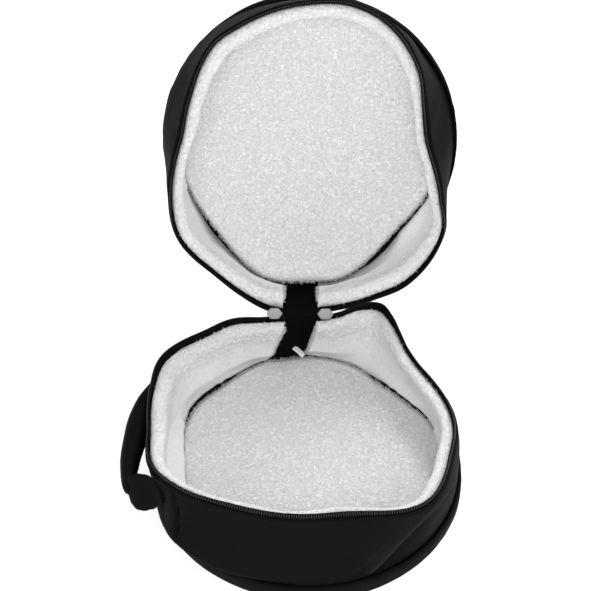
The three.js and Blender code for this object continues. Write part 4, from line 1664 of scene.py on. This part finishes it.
    def binding(self) -> None:
        """The black binding in the groove between pad and wall, on the hinge side only."""
        shows = np.array(self.line)
        shows = shows[shows[:, 1] > 0, 0]
        angle = np.linspace(shows[0] - 3, shows[-1] + 3, 420)
        edge, top = self.pad_rim(angle)
        thick = np.clip(round_table(self.line, angle), 0.15, None)
        thick = thick * (1 + 0.25 * soft_noise(angle[:, None] * [1, 0], 2.5, self.seed + 30))
        near, level = self.meeting(angle)
        radius = edge + 0.5 * self.groove(angle)
        covered = near < radius
        radius = np.where(covered, near - 0.2 * thick, radius)
        line = self.on_axis(radius, angle, np.where(covered, level + 0.4 * thick, top - 3.0 + thick))
        shell = Shell()
        up = np.broadcast_to([0.0, 0.0, 1.0], line.shape)
        placed = self.placed(line)
        round_tube(shell, placed, thick, 8, False, self.placed(line + up) - placed)
        inside = f"{self.name}_{self.inside}"
        Wardrobe.dress(shell.mesh(f"{inside}_edge_binding"), WEBBING, "webbing", f"{inside}_binding")

    def build(self) -> None:
        """Builds and dresses every piece of the half."""
        self.end_panel()
        self.piping()
        self.side_panel()
        self.wall_lining()
        self.zip_tape()
        self.zip_teeth()
        self.pad()
        self.binding()


# Pieces that join the halves


@dataclass(frozen=True)
class ClothHinge:
    """The black strip that joins the halves, the two bare sliders beside it and the bare tag on it.

    Attributes:
        base: the half that lies on the ground.
        lid: the half that stands open.
        cloth: thickness of the strip.
        inset: how far it lies in from a wall's outer face.
        on_wall: share of its length that lies on each wall.
        foot: share of a wall's height where it starts.
        bend: share of a wall's height where it leaves the wall.
        arch: how far it carries on straight there, before it bends over.
        widths: its width, by share of its length.
        drift: how far its middle strays, by share of its length.
        slider_left: the left slider's place along X.
        slider_right: the right slider's place along X.
        slider_half: half a slider's width and height.
        slider_seat: how far its back lies behind its middle.
        slider_crown: how far its crown stands in front of it.
        tag_top: where the tag starts.
        tag_end: what it points to.
        tag_length: its length.
        tag_width: its width.
        tag_cloth: its thickness.
    """

    base: SoftHalf
    lid: SoftHalf
    cloth: float = 2.0
    inset: float = SIDE_CLOTH + 1.2
    on_wall: float = 0.38
    foot: float = 0.03
    bend: float = 0.86
    arch: float = 14.0
    widths: Table = (
        (0, 47), (0.25, 43), (0.4, 45), (0.46, 50), (0.53, 50), (0.62, 42), (0.74, 41), (1, 50),
    )
    drift: Table = ((0, 0), (0.4, -1), (0.5, -2), (0.6, -1), (1, 0))
    slider_left: float = -45.8
    slider_right: float = 22.6
    slider_half: tuple[float, float] = (9.6, 7.4)
    slider_seat: float = 0.8
    slider_crown: float = 2.68
    tag_top: Triple = (-20.0, 189.0, 53.5)
    tag_end: Triple = (-7.0, 179.5, 46.5)
    tag_length: float = 18.0
    tag_width: float = 8.0
    tag_cloth: float = 0.8

    def on(self, half: SoftHalf, v: Array, offset: Array, inset: Array) -> Array:
        """Points of the strip on a half's wall, in the case's frame.

        Args:
            half: the half.
            v: shares of its wall's height.
            offset: distance from the strip's middle.
            inset: how far in from the wall's outer face.
        Returns:
            The points.
        """
        side = -1 if half.opened else 1
        x = half.strip_middle(v) + side * offset
        points = half.wall(np.degrees(np.arccos(x / SEAM_RADIUS)), v, inset)
        points[..., 0] = x
        return half.placed(points)

    def strip(self) -> None:
        """The strip lies on the base's wall, arches over the gap in a cubic curve and lies on the lid."""
        share = np.linspace(0, 1, 150)[:, None]
        across = np.linspace(-0.5, 0.5, 15)
        ring = np.concatenate([across, across[::-1]])[None, :]
        depth = np.concatenate([0 * across, 0 * across + 1])[None, :]
        offset = ring * line_table(self.widths, share) + line_table(self.drift, share)
        inset = self.inset + self.cloth * (1 - depth) + 0 * share
        climb = self.foot + (self.bend - self.foot) * np.clip(share / self.on_wall, 0, 1) + 0 * ring
        drop = self.foot + (self.bend - self.foot) * np.clip((1 - share) / self.on_wall, 0, 1) + 0 * ring
        lower = self.on(self.base, climb, offset, inset)
        upper = self.on(self.lid, drop, offset, inset)
        top = np.full_like(climb, self.bend)
        start, stop = self.on(self.base, top, offset, inset), self.on(self.lid, top, offset, inset)
        rise = self.arch * unit(start - self.on(self.base, top - 0.1, offset, inset))
        fall = self.arch * unit(stop - self.on(self.lid, top - 0.1, offset, inset))
        t = np.clip((share - self.on_wall) / (1 - 2 * self.on_wall), 0, 1)[..., None]
        arch = ((1 - t) ** 3 * start + 3 * (1 - t) ** 2 * t * (start + rise)
                + 3 * (1 - t) * t**2 * (stop + fall) + t**3 * stop)
        low, high = (share < self.on_wall)[..., None], (share > 1 - self.on_wall)[..., None]
        points = np.where(low, lower, np.where(high, upper, arch))
        run = lengths(points[:, 7])
        cloth = np.stack(np.broadcast_arrays(run[:, None], offset), -1)
        points = points + 0.35 * soft_noise(cloth * [1, 0.4], 16, 71)[..., None] * [0, 0.7, 0.7]
        shell = Shell()
        wide = np.append(np.concatenate([across, across + 1]), 1.5) * STRIP_WIDTH
        tube(shell, points, run, wide, False)
        piece = Wardrobe.dress(shell.mesh("hinge_cloth"), WEBBING, "webbing", "hinge_strip")

    def slider(self, side: Side) -> None:
        """A bare slider: rings of one rounded six-sided outline, from its back over a bevel to a low crown.

        Args:
            side: which side of the strip it is on.
        """
        x = self.slider_left if side is Side.LEFT else self.slider_right
        angle = np.degrees(np.arccos(np.array([x]) / SEAM_RADIUS))
        below = self.base.placed(self.base.coil(angle))[0]
        lid_angle = np.degrees(np.arccos((self.lid.shift - np.array([x])) / SEAM_RADIUS))
        above = self.lid.placed(self.lid.coil(lid_angle))[0]
        up = unit(np.array([0.0, 0.5, 0.86]))
        right = np.array([1.0, 0.0, 0.0])
        out = np.cross(right, up)
        middle = below + 0.25 * (above - below)
        middle[0] = x
        lower = -3.0 if side is Side.LEFT else -0.5
        middle = middle + out * (COIL_RADIUS + 1.6 + GAP) - lower * up
        turn = np.linspace(0, 2 * np.pi, 72, endpoint=False)
        sides = np.abs(np.cos(turn[:, None] - np.radians([30, 90, 150])))
        reach = (sides**16).sum(1) ** (-1 / 16)
        wide, tall = self.slider_half
        outline = reach[:, None] * np.stack([wide * np.cos(turn), tall * np.sin(turn)], -1)
        rows = np.array(SLIDER_ROWS)
        flat = rows[:, 1, None, None] * outline
        points = (middle + flat[..., :1] * right + flat[..., 1:] * up
                  + (rows[:, 0, None, None] - self.slider_seat) * out)
        shell = Shell()
        numbers = shell.put(points)
        shell.skin(closed_up(numbers, 1), rows[:, 0], np.linspace(0, 56, 73))
        ends = shell.put(np.array([middle - self.slider_seat * out, middle + self.slider_crown * out]))
        shell.fan(numbers[0], ends[0])
        shell.fan(numbers[-1], ends[1], -1)
        name = side.name.lower()
        Wardrobe.dress(shell.mesh(f"bare_slider_{name}"), SLIDER_METAL, "slider_metal",
                       f"zip_slider_{name}")

    def tag(self) -> None:
        """The bare white tag: a thin strip from the hinge strip down to the pad, with a slight curl."""
        top = np.array(self.tag_top)
        down = unit(np.array(self.tag_end) - top)
        sideways = unit(np.cross([0.0, 0.0, 1.0], down))
        out = np.cross(down, sideways)
        share = np.linspace(0, 1, 40)[:, None]
        across = np.linspace(-0.5, 0.5, 13)
        ring = np.concatenate([across, across[::-1]])[None, :]
        depth = np.concatenate([0 * across, 0 * across + 1])[None, :]
        curl = 1.2 * np.sin(np.pi * share) + 0.5 * share**2 * np.cos(np.pi * ring)
        run = self.tag_length * share
        points = (top + run[..., None] * down + (self.tag_width * ring + 0 * share)[..., None] * sideways
                  + (self.tag_cloth * depth + curl)[..., None] * out)
        shell = Shell()
        tube(shell, points, run[:, 0], np.linspace(0, 17, 27), False)
        Wardrobe.dress(shell.mesh("bare_tag"), LABEL_CLOTH, "label_cloth", "care_label")

    def build(self) -> None:
        """Builds and dresses the strip, the sliders and the tag."""
        self.strip()
        for side in Side:
            self.slider(side)
        self.tag()


# Carry handle


@dataclass(frozen=True)
class CarryHandle:
    """A padded grip round the side of the base, with a leaf-shaped tab sewn on at each end.

    Attributes:
        base: the half that carries it.
        height: height of the grip's middle.
        front: angle of its front end.
        rear: angle of its rear end.
        tall: its height.
        girth: distance round it.
        tab_cloth: thickness of a tab.
        tab_clear: room between a tab and the wall.
        tab_lands: share of a tab's length where it reaches the wall.
    """

    base: SoftHalf
    height: float = 78.0
    front: float = 200.2
    rear: float = 152.0
    tall: float = 30.0
    girth: float = 82.0
    tab_cloth: float = 3.0
    tab_clear: float = 0.8
    tab_lands: float = 0.75

    def wall_radius(self, angle: Array, height: Array) -> Array:
        """Radius of the base's wall at an angle and height."""
        v = (height - self.base.panel - GAP) / self.base.wall_height(angle)
        return np.linalg.norm(self.base.wall(angle, v, 0 * v)[..., :2], axis=-1)

    def grip_points(self, count: int, sides: int) -> tuple[Array, Array]:
        """A rounded section carried round the arc, creased across and flattened onto the rear tab.

        Args:
            count: sections along the grip.
            sides: points round each section.
        Returns:
            Points[section, side], and the distance of each section along the grip.
        """
        share = np.linspace(0, 1, count)[:, None]
        turn = np.linspace(0, 2 * np.pi, sides, endpoint=False)[None, :]
        angle = self.rear + share * (self.front - self.rear) + 0 * turn
        outer = round_table(GRIP_OUTER, angle)
        wall = self.wall_radius(angle, self.height + 0 * angle)
        inner = np.maximum(round_table(GRIP_INNER, angle), wall + 0.6)
        run = share * math.radians(self.front - self.rear) * float(outer.mean())
        cloth = np.stack(np.broadcast_arrays(run, turn * 13), -1)
        away = np.minimum(share, 1 - share)
        full = 0.9 + 0.1 * ease(away / 0.14)
        full = full * np.where(away < 0.02, np.sqrt(np.clip(away / 0.02, 0.3, 1)), 1)
        crease = 0.6 * soft_noise(cloth * [1, 0.35], 9, 41) * ease(1 - away / 0.4)
        crease = crease + 0.6 * soft_noise(cloth * [0.4, 1], 16, 42)
        seam = -0.8 * np.exp(-((np.mod(turn - 1.15 * np.pi + np.pi, 2 * np.pi) - np.pi) / 0.06) ** 2)
        out = full * ((outer - inner) / 2 + crease + seam) * np.cos(turn)
        up = full * (self.tall / 2 + crease + seam) * np.sin(turn)
        return SoftHalf.on_axis((outer + inner) / 2 + out, angle, self.height + up), run[:, 0]

    def grip(self) -> None:
        """The padded grip: its plain form, swollen by its filling between its two ends."""
        count, sides, rough, few = 150, 64, 38, 24
        points, run = self.grip_points(count, sides)
        plain, along = self.grip_points(rough, few)
        coarse = Shell()
        tube(coarse, plain, along, np.linspace(0, self.girth, few + 1), False)
        ends = np.arange(coarse.count).reshape(rough, few)[[0, 1, -2, -1]]
        swollen = GRIP_FILLING.swell(coarse, ends).reshape(rough, few, 3)
        points = points + refined(closed_up(swollen, 1), count, sides + 1)[:, :-1]
        shell = Shell()
        tube(shell, points, run, np.linspace(0, self.girth, sides + 1), False)
        piece = Wardrobe.dress(shell.mesh("handle_padding"), HANDLE_NYLON, "handle_nylon", "handle_grip")

    def tab(self, name: str, start: float, span: float, stands: float, tilt: float,
            leaf: Table) -> None:
        """A leaf-shaped tab: a flat rounded section from the grip's end to the wall, sewn near its edge.

        Args:
            name: front or rear.
            start: angle of the grip's end.
            span: angle from there to the leaf's tip.
            stands: distance of its start from the base's axis.
            tilt: how far its lower edge stands out past its upper edge.
            leaf: share of its length and half its height there.
        """
        count, sides = 70, 56
        share = np.linspace(0, 1, count)[:, None]
        turn = np.linspace(0, 2 * np.pi, sides, endpoint=False)[None, :]
        across = 0.5 + 0.5 * np.sign(np.cos(turn)) * np.abs(np.cos(turn)) ** 0.7
        depth = 0.5 + 0.5 * np.sign(np.sin(turn)) * np.abs(np.sin(turn)) ** 0.45
        half = line_table(leaf, share)
        angle = start + span * share + 0 * turn
        height = self.height + (across - 0.5) * 2 * half
        wall = self.wall_radius(angle, height) + self.tab_clear
        lean = tilt * (0.5 - across) * np.sin(np.pi * share) ** 2
        reach = stands + lean + (wall - stands - lean) * ease(share / self.tab_lands)
        edge = 1 - np.abs(2 * across - 1)
        sewn = 0.5 * np.exp(-(((edge * half) - 4) / 0.9) ** 2)
        puff = 1 + 0.5 * np.clip(edge, 0, 1) ** 0.5
        radius = reach + depth * self.tab_cloth * puff - sewn * depth
        points = SoftHalf.on_axis(radius, angle, height)
        shell = Shell()
        tube(shell, points, 53 * share[:, 0], np.linspace(0, 105, sides + 1), False)
        piece = Wardrobe.dress(shell.mesh(f"handle_leaf_{name}"), HANDLE_NYLON, "handle_nylon",
                               f"handle_tab_{name}")

    def build(self) -> None:
        """Builds and dresses the grip and its tabs."""
        self.grip()
        self.tab("front", self.front - 1.1, 9.7, 239.0, 15.0, FRONT_LEAF)
        self.tab("rear", 163.0, -13.0, 218.0, 0.0, REAR_LEAF)


# Studio


@dataclass(frozen=True)
class Lamp:
    """A square soft lamp: its place, what it is aimed at, its side in metres and its power in watts."""

    name: str
    place: Triple
    aim: Triple
    side: float
    power: float

    def build(self) -> None:
        """Hangs the lamp, tipped from straight down and then turned round Z to its aim."""
        data = bpy.data.lights.new(self.name, "AREA")
        data.size = self.side
        data.energy = self.power
        lamp = bpy.data.objects.new(self.name, data)
        lamp.location = self.place
        away = np.array(self.place) - np.array(self.aim)
        yaw = math.atan2(away[0], -away[1])
        pitch = math.atan2(math.hypot(away[0], away[1]), away[2])
        lamp.rotation_euler = (pitch, 0.0, yaw)
        bpy.context.scene.collection.objects.link(lamp)


@dataclass(frozen=True)
class Studio:
    """A plain pale floor, soft light from above and a camera at the photograph's angle."""

    target: Triple = (-0.01826, 0.0, 0.34014)
    distance: float = 2.45692
    elevation: float = 44.71
    focal_px: float = 2050.27
    frame_px: float = 591.0
    sensor: float = 36.0
    floor_side: float = 24.0
    sky: float = 0.63
    lamps: tuple[Lamp, ...] = (
        Lamp("front", (-0.3, -2.8, 2.2), (0.0, 0.15, 0.2), 2.4, 56.0),
        Lamp("right", (2.2, 0.4, 1.7), (0.0, 0.0, 0.1), 1.2, 15.0),
        Lamp("rear", (0.6, 1.9, 2.3), (0.0, -0.1, 0.1), 1.0, 56.0),
    )

    def floor(self) -> None:
        """A wide pale floor."""
        mesh = bpy.data.meshes.new("floor")
        side = self.floor_side / 2
        corners = [(-side, -side, 0), (side, -side, 0), (side, side, 0), (-side, side, 0)]
        mesh.from_pydata(corners, [], [(0, 1, 2, 3)])
        plane = bpy.data.objects.new("floor", mesh)
        bpy.context.scene.collection.objects.link(plane)
        nodes = Nodes("pale floor")
        nodes.join(nodes.blend(nodes.noise(300.0), grey(0.34), grey(0.36)),
                   nodes.shader.inputs["Base Color"])
        nodes.shader.inputs["Roughness"].default_value = 0.9
        nodes.shader.inputs["Specular IOR Level"].default_value = 0.1
        nodes.shader.inputs["Emission Color"].default_value = (1, 1, 1, 1)
        nodes.shader.inputs["Emission Strength"].default_value = 0.8
        mesh.materials.append(nodes.material)

    def light(self) -> None:
        """Even light all round, a wide lamp in front, one at the right and one behind."""
        world = bpy.data.worlds.new("studio")
        world.use_nodes = True
        sky = world.node_tree.nodes["Background"]
        sky.inputs["Color"].default_value = (1, 1, 1, 1)
        sky.inputs["Strength"].default_value = self.sky
        bpy.context.scene.world = world
        for lamp in self.lamps:
            lamp.build()
        bpy.context.scene.view_settings.view_transform = "Standard"

    def camera(self) -> None:
        """The camera looks along +Y and down at the photograph's angle."""
        data = bpy.data.cameras.new("camera")
        data.sensor_width = self.sensor
        data.lens = self.sensor * self.focal_px / self.frame_px
        camera = bpy.data.objects.new("camera", data)
        down = math.radians(self.elevation)
        camera.location = (self.target[0], self.target[1] - self.distance * math.cos(down),
                           self.target[2] + self.distance * math.sin(down))
        camera.rotation_euler = (math.pi / 2 - down, 0.0, 0.0)
        bpy.context.scene.collection.objects.link(camera)
        bpy.context.scene.camera = camera

    def build(self) -> None:
        """Builds the floor, the lamps and the camera."""
        self.floor()
        self.light()
        self.camera()


# The two halves

FRONT_CREST: Table = (
    (290, 0.02), (294.8, 0.115), (299.1, 0.235), (303.6, 0.38), (308.5, 0.56), (314, 0.74), (321, 0.82),
    (330, 0.77), (338, 0.645), (346, 0.55),
)
LOW_CREST: Table = ((286, 0.1), (292, 0.25), (298, 0.42), (303, 0.55))
# The last number of a fold or crest is its painted light: a painted line of shade in the crease at 221.7
# degrees, painted highlights on the ridge beside it and on both crests
BASE_FOLDS = (
    Fold(221.7, -12, 1.5, -5, -0.6),
    Fold(217.5, -12, 3, 1.5, 0.5),
    Fold(58, 6, 10, 5),
    Fold(34, -10, 11, -3),
    Fold(132, 8, 10, 3),
    Crest(FRONT_CREST, 0.12, 0.04, 4, 3.2),
    Crest(LOW_CREST, 0.08, 0.05, 2, 0.5),
)
LID_FOLDS = (Fold(196, -10, 10, -3), Fold(226, 10, 9, 3), Fold(152, 8, 9, 1))
# The tones of each half's side cloth and end panel are painted light and shade: the lid's darker, the base's
# end panel lighter
BASE = SoftHalf(
    name="base", inside="floor", end="bottom", panel=26.0, rim=BASE_RIM, lift=BASE_LIFT, sag=BASE_SAG,
    folds=BASE_FOLDS, pad_edge=BASE_PAD, pad_lip=BASE_LIP, line=BASE_LINE, roll=BASE_ROLL, opened=False,
    shift=0.0, panel_off=(-0.9, 0.6, 0.0), panel_wide=0.998, painted_tone=1.0, edge_painted_tone=1.3,
    wall_finish=BASE_WALL_FLEECE, pad_finish=BASE_PAD_FLEECE, seed=100,
)
LID = SoftHalf(
    name="lid", inside="ceiling", end="top", panel=22.0, rim=LID_RIM, lift=LID_LIFT, sag=LID_SAG,
    folds=LID_FOLDS, pad_edge=LID_PAD, pad_lip=LID_LIP, line=LID_LINE, roll=LID_ROLL, opened=True,
    shift=2.2, panel_off=(0.0, -2.6, 0.0), panel_wide=0.993, painted_tone=0.75, edge_painted_tone=0.65,
    wall_finish=LID_WALL_FLEECE, pad_finish=LID_PAD_FLEECE, seed=200,
)


def main() -> None:
    """Builds the studio and the case in order."""
    logging.basicConfig(level=logging.INFO, format="%(name)s: %(message)s")
    Studio().build()
    BASE.build()
    LID.build()
    ClothHinge(BASE, LID).build()
    CarryHandle(BASE).build()


if __name__ == "__main__":
    main()
